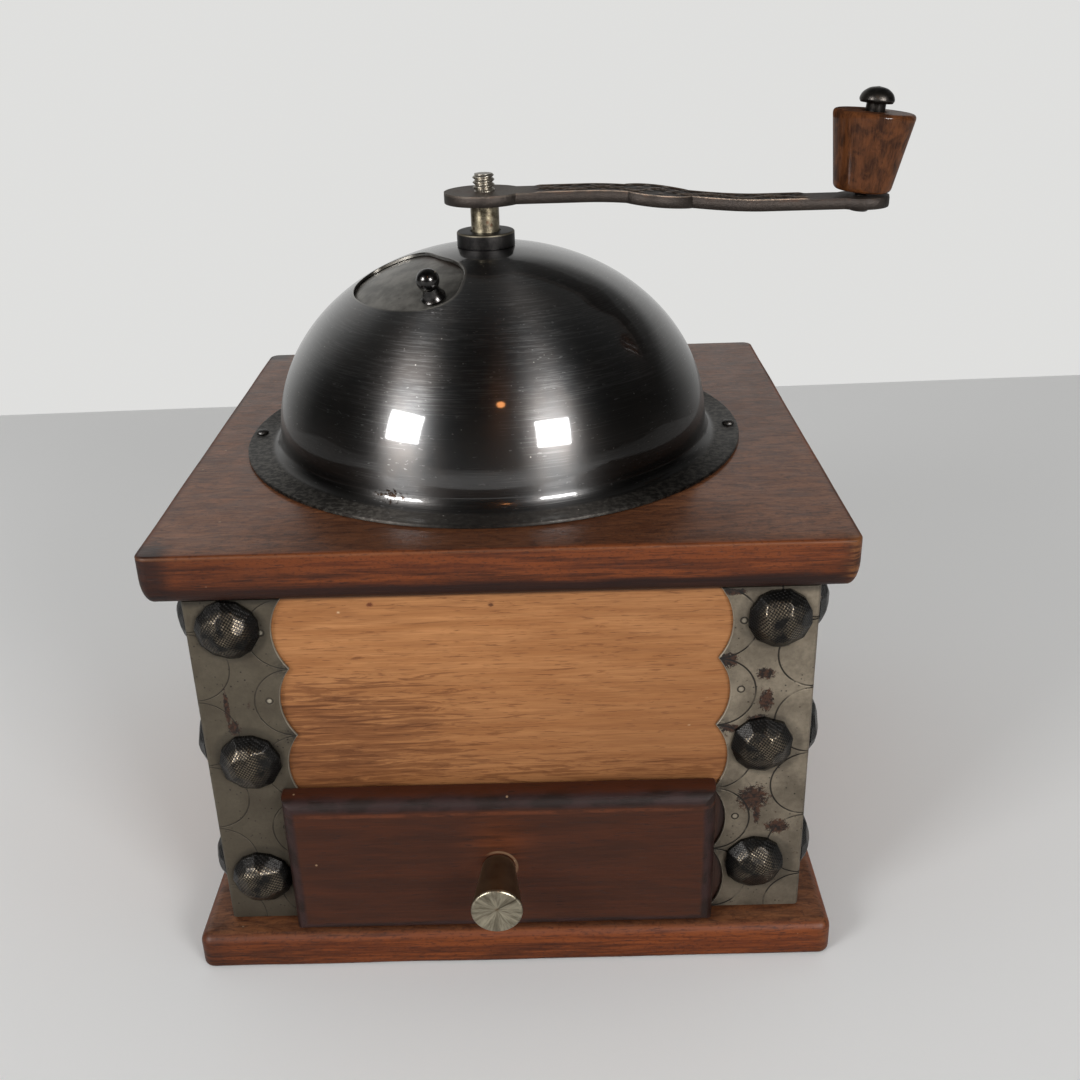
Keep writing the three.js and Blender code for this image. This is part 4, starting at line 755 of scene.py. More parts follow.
# The nails: six to a strap, wrought iron with low domed heads that are struck in flat facets.
# A fine waffle of dots is stamped on the facets; the rims are black where the bluing has stayed.
# The heads on the box's sides are a little flatter.
NAIL_RADIUS, NAIL_HEIGHT, NAIL_SHANK = 7.75, 5.4, 1.0
NAIL_LENGTH, NAIL_SOFTNESS = 9, 0.07
SIDE_NAIL_SHARE = 0.76
NAIL_BLACK, NAIL_BROWN, NAIL_GOLD_GLINT = srgb(23, 22, 21), srgb(44, 40, 36), srgb(190, 172, 144)
WAFFLE_PITCH = 0.9


def nail_shape(seed):
    """The head is the soft minimum of planes: a ring of steep ones, five or six slanting ones and
    a nearly flat one in the middle. Its rim is a polygon; a skirt and a shank close it below."""
    chance = np.random.default_rng(seed)
    outer, middle = chance.integers(11, 14), chance.integers(5, 7)
    steep = (np.arange(outer) + chance.uniform(-0.16, 0.16, outer)) * 2 * math.pi / outer
    slant = (np.arange(middle) + chance.uniform(-0.2, 0.2, middle) + 0.5) * 2 * math.pi / middle
    reach = NAIL_RADIUS * chance.uniform(0.95, 0.985, outer)
    turn = np.linspace(0, 2 * math.pi, 145)
    rim = (reach / np.maximum(np.cos(turn[:, None] - steep), 0.2)).min(1)
    share = np.linspace(0, 1, 30)[:, None]
    x, y = rim * share * np.cos(turn), rim * share * np.sin(turn)
    way = np.concatenate([steep, slant, chance.uniform(0, 6.3, 1)])
    fall = np.concatenate([
        chance.uniform(1.05, 1.4, outer), chance.uniform(0.4, 0.62, middle), chance.uniform(0.03, 0.1, 1)])
    at = np.concatenate([reach, chance.uniform(5.3, 6.0, middle), [0]])
    level = np.concatenate([
        chance.uniform(1.0, 1.4, outer), chance.uniform(3.2, 3.7, middle), [NAIL_HEIGHT - 0.15]])
    planes = level - fall * (x[..., None] * np.cos(way) + y[..., None] * np.sin(way) - at)
    top = -NAIL_SOFTNESS * np.log(np.exp(-planes / NAIL_SOFTNESS).sum(-1))
    down = [(None, 0.1), (NAIL_SHANK, 0.1), (NAIL_SHANK, 1 - NAIL_LENGTH), (0, -NAIL_LENGTH)]
    for radius, height in down:
        ring = rim if radius is None else np.full_like(rim, radius)
        x = np.vstack([x, ring * np.cos(turn)])
        y = np.vstack([y, ring * np.sin(turn)])
        top = np.vstack([top, np.full_like(rim, height)])
    return np.stack([x, y, top], -1)


iron = Finish("nail_iron", Metallic=0.9, IOR=1.5)
head_x, head_y, head_z = iron.axes(iron.node("Attribute", {"attribute_name": "head"}, {}, 1))


def wave_of(value):
    """A sine wave whose length is the waffle's pitch."""
    return iron.math("SINE", value * (2 * math.pi / WAFFLE_PITCH))


dots = (wave_of(head_x + head_y * 0.2) * wave_of(head_y - head_x * 0.2)).smooth(-0.15, 0.3)
worn = iron.blots(0.36, 0.6, 4.5, 3.0, 3.0, 0.6)
height_share = head_z.smooth(2.4, 4.6)
rubbed = height_share * worn
iron.colour = iron.mix(rubbed * 0.55, NAIL_BLACK, NAIL_BROWN)
# The rubbed tops of the waffle dots in pale gold: iron worn bare, and a painted glint.
iron.lay(dots * rubbed * 0.2, NAIL_GOLD_GLINT)
rust_spots = iron.blots(0.6, 0.7, 2.2, 8.0, 5.0, 0.7)
iron.lay(rust_spots * 0.5, RUST_DARK)
iron_normal = iron.bump(dots * (0.35 + worn * 0.65) + iron.noise(1.4, 5.0, 3.0) * 0.25, 0.12)
nails = []
for number, node in enumerate(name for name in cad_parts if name.startswith("nail_")):
    box_low, box_high = (Vector(corner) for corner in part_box(node))
    seat = np.array((box_low + box_high) / 2 / MM)
    on_end = "_end_" in node
    across_sheet = 1 if on_end else 0
    out = np.zeros(3)
    out[across_sheet] = np.sign(seat[across_sheet])
    seat[across_sheet] = out[across_sheet] * STRAP_FOLD[across_sheet]
    nail = nail_shape(40 + number)
    nail[..., 2] *= np.where(nail[..., 2] > 0, 1 if on_end else SIDE_NAIL_SHARE, 1)
    points = seat + nail @ np.array([np.cross([0, 0, 1], out), [0, 0, 1], out])
    nails.append(fit(surface(node + "_iron", points, smooth_below=17, head=[nail]), node))
iron.dress(*nails, Roughness=0.38 - rubbed * 0.07, Normal=iron_normal)

# The mill: a cast funnel that hangs in the top board, with a toothed ring below that holds the
# toothed cone. Below the cone are the ball that it turns on and the screw that sets the grind.
HOUSING_PROFILE = [(41, 122.8), (52, 122.8), (52, 120.8), (43, 120.8), (22.8, 103.8), (22.8, 79.8),
                   (19.3, 79.8), (19.3, 81.8), (20.8, 81.8), (20.8, 103.8), (41, 122.8)]
CAST_DARK, CAST_GREY = srgb(38, 35, 33), srgb(78, 74, 70)
STEEL_PALE, STEEL_DARK = srgb(196, 184, 158), srgb(116, 102, 80)


def eased(points, radius, steps=4):
    """The line through [r, z] points with its corners rounded: at each one a curve of three control
    points (before, corner, after) takes the place of the corner, as far as the radius reaches."""
    points = np.array(points, float)
    line = [points[:1]]
    for before, at, after in zip(points, points[1:], points[2:]):
        lengths = [np.linalg.norm(end - at) for end in (before, after)]
        reach = [min(radius, length * 0.45) for length in lengths]
        first, last = (at + (end - at) * cut / max(length, 1e-9)
                       for end, cut, length in zip((before, after), reach, lengths))
        t = np.linspace(0, 1, steps + 1)[:, None]
        line.append(first * (1 - t) ** 2 + at * 2 * t * (1 - t) + last * t**2)
    return np.concatenate([*line, points[-1:]])


def fine(line, step):
    """The same line with more points, so that no two are further apart than a step."""
    pieces = [line[:1]]
    for first, last in zip(line, line[1:]):
        pieces.append(spread(first, last, max(1, math.ceil(np.linalg.norm(last - first) / step))))
    return np.concatenate(pieces)


def lathe(profile, segments=96, at=(*AXIS, 0), tilt=None):
    """A line of [r, z] points turned about an upright axis, then leant over and put in its place."""
    profile = np.asarray(profile, float)
    turn = np.linspace(0, 2 * math.pi, segments + 1)
    radius = profile[:, :1]
    upright = np.stack([radius * np.cos(turn), radius * np.sin(turn), profile[:, 1:] + 0 * turn], -1)
    if tilt is not None:
        upright = upright @ np.array(tilt).T
    return upright + at


def metal(name, dark, light, seed, rough=0.42, size=5.0, depth=0.05, centre=(0, 0, 0), **constants):
    """A metal in two shades with rust-brown specks and slow clouds in its gloss."""
    finish = Finish(name, centre, **{"Metallic": 0.9, "IOR": 1.6, **constants})
    clouds = finish.noise(size, seed, 5.0, 0.6)
    grit = finish.noise(size * 0.12, seed + 1, 3.0, 0.6)
    finish.colour = finish.mix((clouds * 0.7 + grit * 0.3).smooth(0.36, 0.64), dark, light)
    specks = finish.blots(0.62, 0.72, size * 0.3, seed + 2, 5.0, 0.75)
    finish.lay(specks * 0.6, RUST_DARK)
    gloss = rough + clouds * 0.16 - 0.08 + specks * 0.25
    normal = finish.bump(grit * 0.7 + clouds * 0.3, depth)
    return finish.set(Roughness=gloss, Normal=normal)


housing = fit(surface("mill_funnel", lathe(fine(eased(HOUSING_PROFILE, 0.8), 5))), "mill_housing")
cast = metal("grey_casting", CAST_DARK, CAST_GREY, 50.0, 0.6, 6.0, 0.2)
cast.dress(housing, *solids("grinding_ring", "grinding_cone"))
plain_steel = metal("plain_steel", STEEL_DARK, STEEL_PALE, 54.0, 0.36, 4.0)
plain_steel.dress(*solids("thrust_ball", "adjusting_screw"))

# The hopper: a dome spun from one steel sheet with its flange, blackened and satin, with a filling
# hole in the crown. Two small screws hold the flange to the top board.
DOME_RADII, DOME_CENTRE = np.array([59.7, 48.8]), 124.8
DOME_WALL, SHEET_EASE = 0.9, 0.12
FOOT_RADIUS, FOOT_FILLET = 63.0, 3.3
FLANGE_RADIUS = 69.2
SEAT_RADIUS, NECK_BORE = 8.3, 6.0
HOLE_AZIMUTH, HOLE_HALF_ANGLE = -146.5, 44
HOLE_RADIUS, HOLE_HALF_BREADTH, HOLE_POWER = 25.7, 11.3, 2 / 2.8
PATCH_HALF_ANGLE, PATCH_REACH = 60, 44
PATCH_COLUMNS, PATCH_ROWS, PATCH_RINGS = 60, 34, 22
DOME_BLACK, DOME_BROWN, DOME_GREY = srgb(64, 64, 64), srgb(72, 69, 67), srgb(132, 131, 130)
FLANGE_BLACK, FLANGE_GREY, DUST_GREY = srgb(44, 41, 38), srgb(122, 118, 111), srgb(196, 190, 182)
# The rusty place low on the dome: its azimuth, the dome's radius there and its height
RUST_SPOT = (-113, 59, -0.8)


def round_axis(radius, turn, height):
    """Points at a radius from the mill's axis, turned so many radians round it, at a height."""
    x, y = AXIS[0] + radius * np.cos(turn), AXIS[1] + radius * np.sin(turn)
    return np.stack(np.broadcast_arrays(x, y, height), -1)


def on_dome(azimuth, radius, inset):
    """The point of the dome's skin over a radius, on the ellipse that lies an inset inside it."""
    azimuth, radius = np.broadcast_arrays(azimuth, radius)
    half, rise = DOME_RADII - inset
    height = DOME_CENTRE + rise * np.sqrt(np.maximum(1 - (radius / half) ** 2, 0))
    return round_axis(radius, np.radians(azimuth), height)


def around_the_hole(inset, clear):
    """Rings from the hole's outline, a rounded rectangle in azimuth and radius, out to a patch's
    border, whose points are those of the grid about it."""
    half = PATCH_HALF_ANGLE
    across = np.linspace(-half, half, PATCH_COLUMNS + 1)
    out = np.linspace(SEAT_RADIUS, PATCH_REACH, PATCH_ROWS + 1)
    border = np.concatenate([
        np.stack([across, np.full_like(across, out[0])], -1)[:-1],
        np.stack([np.full_like(out, half), out], -1)[:-1],
        np.stack([across[::-1], np.full_like(across, out[-1])], -1)[:-1],
        np.stack([np.full_like(out, -half), out[::-1]], -1),
    ])
    turn = np.arctan2((border[:, 1] - HOLE_RADIUS) / HOLE_HALF_BREADTH, border[:, 0] / HOLE_HALF_ANGLE)
    bulge = [np.sign(way) * np.abs(way) ** HOLE_POWER for way in (np.cos(turn), np.sin(turn))]
    hole = np.stack([bulge[0] * (HOLE_HALF_ANGLE + clear * 2.2),
                     HOLE_RADIUS + bulge[1] * (HOLE_HALF_BREADTH + clear)], -1)
    share = np.linspace(0, 1, PATCH_RINGS + 1)[:, None, None]
    place = hole * (1 - share) + border * share
    return on_dome(HOLE_AZIMUTH + place[..., 0], place[..., 1], inset)


def dome_grids():
    """Outer and inner skin, each in three grids: the rings about the hole, the rest of that belt,
    and the turned part below it; then the wall of the hole and the seat at the top."""
    rest = HOLE_AZIMUTH + np.linspace(PATCH_HALF_ANGLE, 360 - PATCH_HALF_ANGLE, 121)
    whole = HOLE_AZIMUTH + np.linspace(-PATCH_HALF_ANGLE, 360 - PATCH_HALF_ANGLE, 181)
    belt = np.linspace(SEAT_RADIUS, PATCH_REACH, PATCH_ROWS + 1)[:, None]
    grids, ends = [], []
    for inset in (0, DOME_WALL):
        grids += [around_the_hole(inset, SHEET_EASE), on_dome(rest, belt, inset)]
        half, rise = DOME_RADII - inset
        start = math.asin(PATCH_REACH / half)
        angle = np.linspace(start, math.pi / 2, 46)
        skirt = np.stack([half * np.sin(angle), DOME_CENTRE + rise * np.cos(angle)], -1)
        bend = np.linspace(math.pi, 1.5 * math.pi, 13)[1:]
        fillet = FOOT_FILLET + inset
        foot = np.stack([FOOT_RADIUS + fillet * np.cos(bend), DOME_CENTRE + fillet * np.sin(bend)], -1)
        ends.append(np.concatenate([skirt, foot]))
    tops = [end[-1, 1] for end in ends]
    rim = eased([ends[0][-1], (FLANGE_RADIUS, tops[0]), (FLANGE_RADIUS, tops[1]), ends[1][-1]], 0.4)
    line = np.concatenate([ends[0][:-1], fine(rim, 1.5), ends[1][::-1][1:]])
    turn = np.radians(whole)
    grids.append(round_axis(line[:, :1], turn, line[:, 1:]))
    wall_steps = [(0, SHEET_EASE), (SHEET_EASE, 0), (DOME_WALL / 2, 0), (DOME_WALL - SHEET_EASE, 0),
                  (DOME_WALL, SHEET_EASE)]
    wall = [around_the_hole(inset, clear)[0] for inset, clear in wall_steps]
    seats = [on_dome(whole, SEAT_RADIUS, inset) for inset in (0, DOME_WALL)]
    neck = [round_axis(NECK_BORE, turn, seat[0, 2]) for seat in seats]
    grids += [np.stack(wall), np.stack([seats[0], neck[0], neck[1], seats[1]])]
    moved = []
    for grid in grids:
        grid = grid.copy()
        grid[..., 2] += waves(grid, 26, 5) * 0.035 * np.clip((grid[..., 2] - 121.5) / 3, 0, 1)
        moved.append(grid)
    return moved


dome = fit(surface("dome_sheet", *dome_grids()), "hopper_dome")
black = Finish("dome_black", (*AXIS, DOME_CENTRE), Metallic=1.0, Anisotropic=0.85, IOR=1.6,
               Anisotropic_Rotation=0.25, Coat_Roughness=0.06, Coat_IOR=1.5)
round_way, out = black.math("ARCTAN2", black.y, black.x), black.length(black.x, black.y)
rings = black.noise_at(black.joined(round_way * 2.5, out * 3.4, black.z * 3.4), 5.0, 0.7)
soft = black.noise(16, 2.0, 4.0, 0.6)
black.colour = black.mix(soft.smooth(0.35, 0.68), DOME_BLACK, DOME_BROWN)
brushed = rings.smooth(0.5, 0.7) * black.blots(0.4, 0.6, 9, 8.0, stretch=(1, 1, 0.6))
black.lay(brushed * 0.34, DOME_GREY)
brush_place = black.joined(round_way * 5, out * 1.7, black.z * 2.0)
brush_marks = black.noise_at(brush_place, 4.0, 0.75).smooth(0.48, 0.66)
brush_marks = brush_marks * black.z.smooth(16, 24) * out.smooth(28, 38)
black.lay(brush_marks * 0.2, DOME_GREY)
# Low on the sides the dome is painted darker and its coat thinned: a painted dark reflection in place of
# the pale table's.
low_side_painted_dark = black.z.smooth(28, 12) * abs(black.x).smooth(14, 38)
black.lay(low_side_painted_dark * 0.6, FLANGE_BLACK)
flange = out.smooth(61.5, 63.2)
scuffs = black.blots(0.42, 0.62, 1.6, 6.0, 5.0, 0.75)
black.lay(flange * 0.8, FLANGE_BLACK)
sideways = abs(black.x).smooth(15, 60)
black.lay(flange * scuffs * (0.1 + sideways * 0.5), FLANGE_GREY)
# A grey rim round the hole's edge: the cut edge worn bare, and a painted highlight on the hole's wall and
# arris.
hole_turn = black.math("WRAP", round_way - math.radians(HOLE_AZIMUTH), math.pi, -math.pi)
hole_turn = abs(hole_turn)
hole_span = (hole_turn / math.radians(HOLE_HALF_ANGLE)) ** (2 / HOLE_POWER)
hole_span = hole_span + (abs(out - HOLE_RADIUS) / HOLE_HALF_BREADTH) ** (2 / HOLE_POWER)
black.lay(hole_span.smooth(1.16, 1.02) * 0.8, FLANGE_GREY)
dust = black.cells(3.4, 5.0).smooth(0.07, 0.03)
black.lay(dust * 0.5 * soft.smooth(0.42, 0.55), DUST_GREY)
scratch_place = black.joined(round_way * 9, black.z * 0.5, out * 0.4)
scratches = black.noise_at(scratch_place, 2.0, 0.6, scale=3.0).smooth(0.66, 0.72)
black.lay(scratches * 0.35, DOME_GREY)
rust_way = abs(round_way - math.radians(RUST_SPOT[0])) * RUST_SPOT[1]
rust_near = (rust_way + abs(black.z - RUST_SPOT[2]) * 3).smooth(9, 4)
rust_grit = (black.noise(1.3, 7.0, 4.0, 0.8) + rust_near * 0.12).smooth(0.62, 0.66)
black.lay(rust_grit * rust_near, RUST_DARK)
black_rough = 0.29 + soft * 0.04 + flange * 0.2 + rings * 0.08 + brush_marks * 0.03
black_normal = black.bump(rings * 0.8 + scratches * 0.5 - rust_grit * rust_near, 0.02)
black_coat = 1 - flange * 0.9 - scratches * 0.3 - rust_grit * rust_near * 0.7 - low_side_painted_dark * 0.7
black.dress(dome, Roughness=black_rough, Normal=black_normal, Coat_Weight=black_coat)

SCREW_CIRCLE, SCREW_SEAT = 66.5, 121.6
SCREW_AZIMUTHS = {"dome_screw_1": 180, "dome_screw_2": -2}
SCREW_PROFILE = [(0, -7.3), (0.9, -6.4), (0.9, 0), (1.7, 0), (1.66, 0.35), (1.3, 0.75), (0.7, 0.92),
                 (0, 0.9)]
screws = []
for screw_node, screw_azimuth in SCREW_AZIMUTHS.items():
    screw_at = round_axis(SCREW_CIRCLE, math.radians(screw_azimuth), SCREW_SEAT)
    screws.append(fit(surface(screw_node + "_head", lathe(SCREW_PROFILE, 24, screw_at)), screw_node))
metal("screw_black", DOME_BLACK, CAST_GREY, 60.0, 0.4, 1.5, 0.04).dress(*screws)

# The hatch: a fan of sheet under the dome's skin that turns about the bush and covers the hole.
# Its knob, a black ball on a cone-shaped neck, is riveted to it and stands up through the hole.
HATCH_INSET, HATCH_THICK = 1.05, 0.8
HATCH_HUB, HATCH_BORE, HATCH_REACH, HATCH_HALF = 11, 6.0, 39.8, 47.9
HATCH_FLAT, HATCH_TURN = 172.18, 1.4
HATCH_DULL, HATCH_PALE = srgb(98, 96, 91), srgb(138, 135, 129)
KNOB_AZIMUTH, KNOB_OUT = -114.7, 30.1
KNOB_PROFILE = [(0, -1.1), (0.9, -1.1), (0.9, 0.3), (3.2, 0.3), (3.2, 0.6), (2.75, 1.1), (2.3, 2.2)]
KNOB_NECK, KNOB_BALL = (2, 3.4), 2.95
KNOB_BLACK, KNOB_GREY = srgb(22, 21, 21), srgb(48, 45, 43)


def hatch_grid():
    """Columns of azimuth round the bush; every row reaches from the bore to the hub's rim, or in
    the fan to its outer edge; the same rows return on the under side."""
    bend = HATCH_TURN * np.array([-1, -0.5, 0, 0.5, 1])
    past = HATCH_TURN + 0.2
    inner = np.linspace(-HATCH_HALF + past, HATCH_HALF - past, 81)
    outer = np.linspace(HATCH_HALF + past, 360 - HATCH_HALF - past, 61)
    azimuth = np.concatenate([inner, HATCH_HALF + bend, outer, 360 - HATCH_HALF + bend, [360 + inner[0]]])
    from_middle = np.abs((azimuth + 180) % 360 - 180)
    open_share = np.clip((HATCH_HALF - from_middle) / (2 * HATCH_TURN) + 0.5, 0, 1)
    reach = HATCH_HUB + (HATCH_REACH - HATCH_HUB) * open_share
    share = np.linspace(0, 1, 46)[:, None]
    rows = []
    for depth in (0, HATCH_THICK):
        radius = HATCH_BORE + (reach - SHEET_EASE - HATCH_BORE) * share
        outside = np.maximum(radius, SEAT_RADIUS + 0.01)
        skin = on_dome(HOLE_AZIMUTH + azimuth, outside, HATCH_INSET + depth)
        level = np.minimum(skin[..., 2], HATCH_FLAT - depth)
        rows.append(round_axis(radius, np.radians(HOLE_AZIMUTH + azimuth), level))
    edge = [on_dome(HOLE_AZIMUTH + azimuth, reach, HATCH_INSET + depth)
            for depth in (SHEET_EASE, HATCH_THICK - SHEET_EASE)]
    top, under = rows
    edge[0][:, 2] = np.minimum(edge[0][:, 2], top[-1, :, 2] - 0.05)
    return np.concatenate([top, np.stack(edge), under[::-1], top[:1]])


hatch = fit(surface("hatch_sheet", hatch_grid()), "hatch_cover", "hatch")
hatch_steel = Finish("hatch_steel", (*AXIS, DOME_CENTRE), Metallic=1.0, IOR=1.6,
                     Coat_Roughness=0.2, Coat_Weight=0.3)
hatch_clouds = hatch_steel.noise(7, 4.0, 5.0, 0.62)
hatch_out = hatch_steel.length(hatch_steel.x, hatch_steel.y)
near_bush = (hatch_out + hatch_clouds * 12).smooth(26, 17)
hatch_steel.colour = hatch_steel.mix(hatch_clouds.smooth(0.35, 0.65), HATCH_DULL, HATCH_PALE)
hatch_steel.lay(near_bush * 0.7, RUST_RED)
hatch_marks = hatch_steel.blots(0.6, 0.7, 1.4, 9.0, 5.0, 0.75)
hatch_steel.lay(hatch_marks * 0.5, RUST_DARK)
hatch_normal = hatch_steel.bump(hatch_clouds, 0.05)
hatch_steel.dress(hatch, Roughness=0.38 + hatch_clouds * 0.2, Normal=hatch_normal)

ball_turn = np.linspace(-math.acos(KNOB_NECK[0] / KNOB_BALL), math.pi / 2, 20)
ball_centre = KNOB_NECK[1] + math.sqrt(KNOB_BALL**2 - KNOB_NECK[0] ** 2)
ball_line = np.stack([KNOB_BALL * np.cos(ball_turn), ball_centre + KNOB_BALL * np.sin(ball_turn)], -1)
knob_line = np.concatenate([KNOB_PROFILE, ball_line])
knob_turn = math.radians(KNOB_AZIMUTH)
half_width, half_height = DOME_RADII - HATCH_INSET
knob_height = half_height * math.sqrt(1 - (KNOB_OUT / half_width) ** 2)
knob_way = np.array([KNOB_OUT / half_width**2 * math.cos(knob_turn),
                     KNOB_OUT / half_width**2 * math.sin(knob_turn), knob_height / half_height**2])
lean = Vector(knob_way).normalized().to_track_quat("Z", "Y").to_matrix()
knob_at = round_axis(KNOB_OUT, knob_turn, DOME_CENTRE + knob_height)
hatch_knob = fit(surface("hatch_ball", lathe(knob_line, 48, knob_at, lean)), "hatch_knob", "hatch")
bluing = metal("hatch_ball_black", KNOB_BLACK, KNOB_GREY, 66.0, 0.26, 3.0, 0.03,
               Coat_Weight=0.4, Coat_Roughness=0.12)
bluing.dress(hatch_knob)

# The bush: a turned collar riveted through the crown of the dome, which carries the shaft and,
# on its neck below the sheet, the hatch.
BUSH_PROFILE = [(4.1, 177.13), (7.45, 177.13), (7.75, 176.83), (7.75, 173.23), (5.7, 173.23), (5.7, 170.83),
                (8, 170.83), (8, 169.33), (4.1, 169.33), (4.1, 177.13)]
BUSH_CENTRE = (*AXIS, 175)
BUSH_BLACK, BUSH_GREY = srgb(17, 16, 16), srgb(38, 36, 35)
bush = fit(surface("bush_collar", lathe(eased(BUSH_PROFILE, 0.12, 3))), "dome_bush")
collar = metal("bush_black", BUSH_BLACK, BUSH_GREY, 70.0, 0.46, 3.0, 0.05, BUSH_CENTRE)
# The top arris of the collar in pale steel: worn bare, and a painted highlight.
rim_wear_and_highlight = collar.length(collar.x, collar.y).smooth(7.35, 7.6)
collar.lay(rim_wear_and_highlight * collar.z.smooth(1.5, 1.8) * 0.2, STEEL_PALE)
collar.dress(bush)

# The shaft: round steel with the cone below, two flats for the arm and a threaded end above it,
# on which the nut is missing. It is bright, with brown spots.
SHAFT_FOOT, JOURNAL, SHAFT_RADIUS = 72, (3.1, 84.8), 3.8
SHAFT_SEAT, SEAT_THICK, FLAT_WIDTH = 184.626, 2.8, 2.2
THREAD_RADII, THREAD_PITCH, THREAD_TURNS = (2.3, 2.9), 1.27, 3.25
THREAD_FOOT, THREAD_CROWN, CROWN_RISE = 187.726, 1.9, 0.05
SHAFT_CENTRE = (*AXIS, 180)
SHAFT_DARK, SHAFT_PALE = srgb(84, 76, 60), srgb(152, 143, 122)
THREAD_GREY = srgb(150, 145, 137)


def shaft_grid():
    """Radius over height and azimuth: round below, cut by the flats, and on top a helical thread,
    a triangle wave of the height less the pitch times the turn."""
    plain = eased([(0, SHAFT_FOOT), (JOURNAL[0], SHAFT_FOOT), JOURNAL, (SHAFT_RADIUS, JOURNAL[1]),
                   (SHAFT_RADIUS, SHAFT_SEAT), (THREAD_RADII[1], SHAFT_SEAT)], 0.2, 3)
    top = THREAD_FOOT + THREAD_PITCH * THREAD_TURNS
    cut = np.linspace(SHAFT_SEAT + 0.02, top, 120)
    line = np.concatenate([plain, np.stack([np.full_like(cut, THREAD_RADII[1]), cut], -1)])
    turn = np.linspace(0, 2 * math.pi, 97)
    radius, height = line[:, :1] + 0 * turn, line[:, 1:] + 0 * turn
    pitch = ((height - THREAD_FOOT) / THREAD_PITCH - turn / (2 * math.pi)) % 1
    ridge = np.clip(np.abs(pitch - 0.5) * 2.6 - 0.15, 0, 1)
    low, high = THREAD_RADII
    end = np.clip((height - top + 0.5) / 0.5, 0, 1)
    threaded = low + (high - low) * ridge * (1 - end * 0.8)
    radius = np.where(height > THREAD_FOOT - 0.3, np.minimum(radius, threaded), radius)
    flat = (height > SHAFT_SEAT) & (height < SHAFT_SEAT + SEAT_THICK)
    wide = FLAT_WIDTH / np.maximum(np.abs(np.cos(turn)), 1e-6)
    radius = np.where(flat, np.minimum(radius, wide), radius)
    crown = [round_axis(out, turn, top + CROWN_RISE)[None] for out in (THREAD_CROWN, 0)]
    return np.concatenate([round_axis(radius, turn, height), *crown])


shaft = fit(surface("shaft_steel", shaft_grid()), "main_shaft", "crank")
shaft_steel = metal("shaft_steel", SHAFT_DARK, SHAFT_PALE, 74.0, 0.34, 3.0, 0.03, SHAFT_CENTRE)
shaft_rust = shaft_steel.blots(0.52, 0.66, 2.4, 78.0, 5.0, 0.7)
shaft_steel.lay(shaft_rust * 0.75, RUST_DARK)
shaft_thread = shaft_steel.z.smooth(6.8, 7.6)
shaft_steel.lay(shaft_thread * 0.7, THREAD_GREY)
shaft_spots = shaft_steel.cells(2.1, 6.0).smooth(0.3, 0.18) * (1 - shaft_thread)
shaft_steel.lay(shaft_spots * 0.8, RUST_RED)
shaft_steel.dress(shaft)

# The arm: a flat iron casting with a round hub, a medallion and an eye, bent down towards the
# grip. Scrolls and leaves stand in low relief on its upper side between two raised rims.
ARM_LENGTH, ARM_THICK, ARM_DROP, ARM_BEND = 99.7, 2.8, 3.8, (27, 74)
ARM_HUB, ARM_EYE = 10.6, 7.4
ARM_NECK, ARM_TAIL, ARM_MEDALLION = 6.3, 5.4, 9.4
MEDALLION_AT, MEDALLION_HALF = 46, 8.5
RELIEF, RELIEF_SPAN, SCROLL_PITCH = 0.42, (13, 86), 7.4
ARM_EASE = 0.35
ARM_BLACK, ARM_BROWN = srgb(30, 26, 24), srgb(56, 48, 42)
ARM_RUBBED, ARM_HUB_GREY = srgb(128, 110, 94), srgb(104, 95, 86)


def step(value, low, high):
    """0 below low and 1 above high, with an S-curve between them."""
    share = np.clip((value - low) / (high - low), 0, 1)
    return share * share * (3 - 2 * share)


def arm_width(along):
    """Half the arm's width: the greatest of a bar, the round hub, the medallion and the eye."""
    bar = ARM_NECK + (ARM_TAIL - ARM_NECK) * step(along, 40, 54)
    bar = np.where((along > 0) & (along < ARM_LENGTH), bar, 0)
    bulge = ARM_MEDALLION - ARM_TAIL
    beat = np.clip(np.abs(along - MEDALLION_AT) / MEDALLION_HALF, 0, 1)
    medallion = bar + bulge * np.cos(beat * math.pi / 2) ** 0.7
    hub = np.sqrt(np.maximum(ARM_HUB**2 - along**2, 0))
    eye = np.sqrt(np.maximum(ARM_EYE**2 - (along - ARM_LENGTH) ** 2, 0))
    return np.maximum.reduce([bar, medallion * (bar > 0), hub, eye])


def relief(along, across):
    """The height of the ornament, 0 to 1: a wavy stem with a round scroll in each of its bends and
    leaves along it, on a ground that lies lower than the rims."""
    wide = arm_width(along)
    first, last = RELIEF_SPAN
    within = step(along, first, first + 2) * step(along, last, last - 2)
    rim = step(np.abs(across), wide - 1.5, wide - 1.0)
    reach = wide - 2.0
    phase = (along - first) / SCROLL_PITCH * math.pi
    stem_at = np.sin(phase) * reach * 0.52
    stem = 1 - step(np.abs(across - stem_at), 0.35, 0.8)
    side = np.sign(np.cos(phase + math.pi / 2))
    past_bend = along - (np.floor(phase / math.pi) + 0.5) * SCROLL_PITCH - first
    beside = across + side * reach * 0.36
    near = np.hypot(past_bend, beside)
    turn = np.arctan2(beside, past_bend) / (2 * math.pi)
    scroll = 0.5 + 0.5 * np.cos(2 * math.pi * (near / 1.05 - turn * side))
    scroll = scroll * (1 - step(near, 2.0, 2.6))
    leaf = np.clip(np.sin(phase * 3) * np.cos(across * 1.9 / np.maximum(reach, 1) * math.pi), 0, 1)
    leaf = leaf * step(near, 1.9, 2.7)
    drawn = np.maximum.reduce([stem, scroll, leaf * 0.75])
    return within * np.maximum(drawn * (1 - rim), rim) - within * 0.35


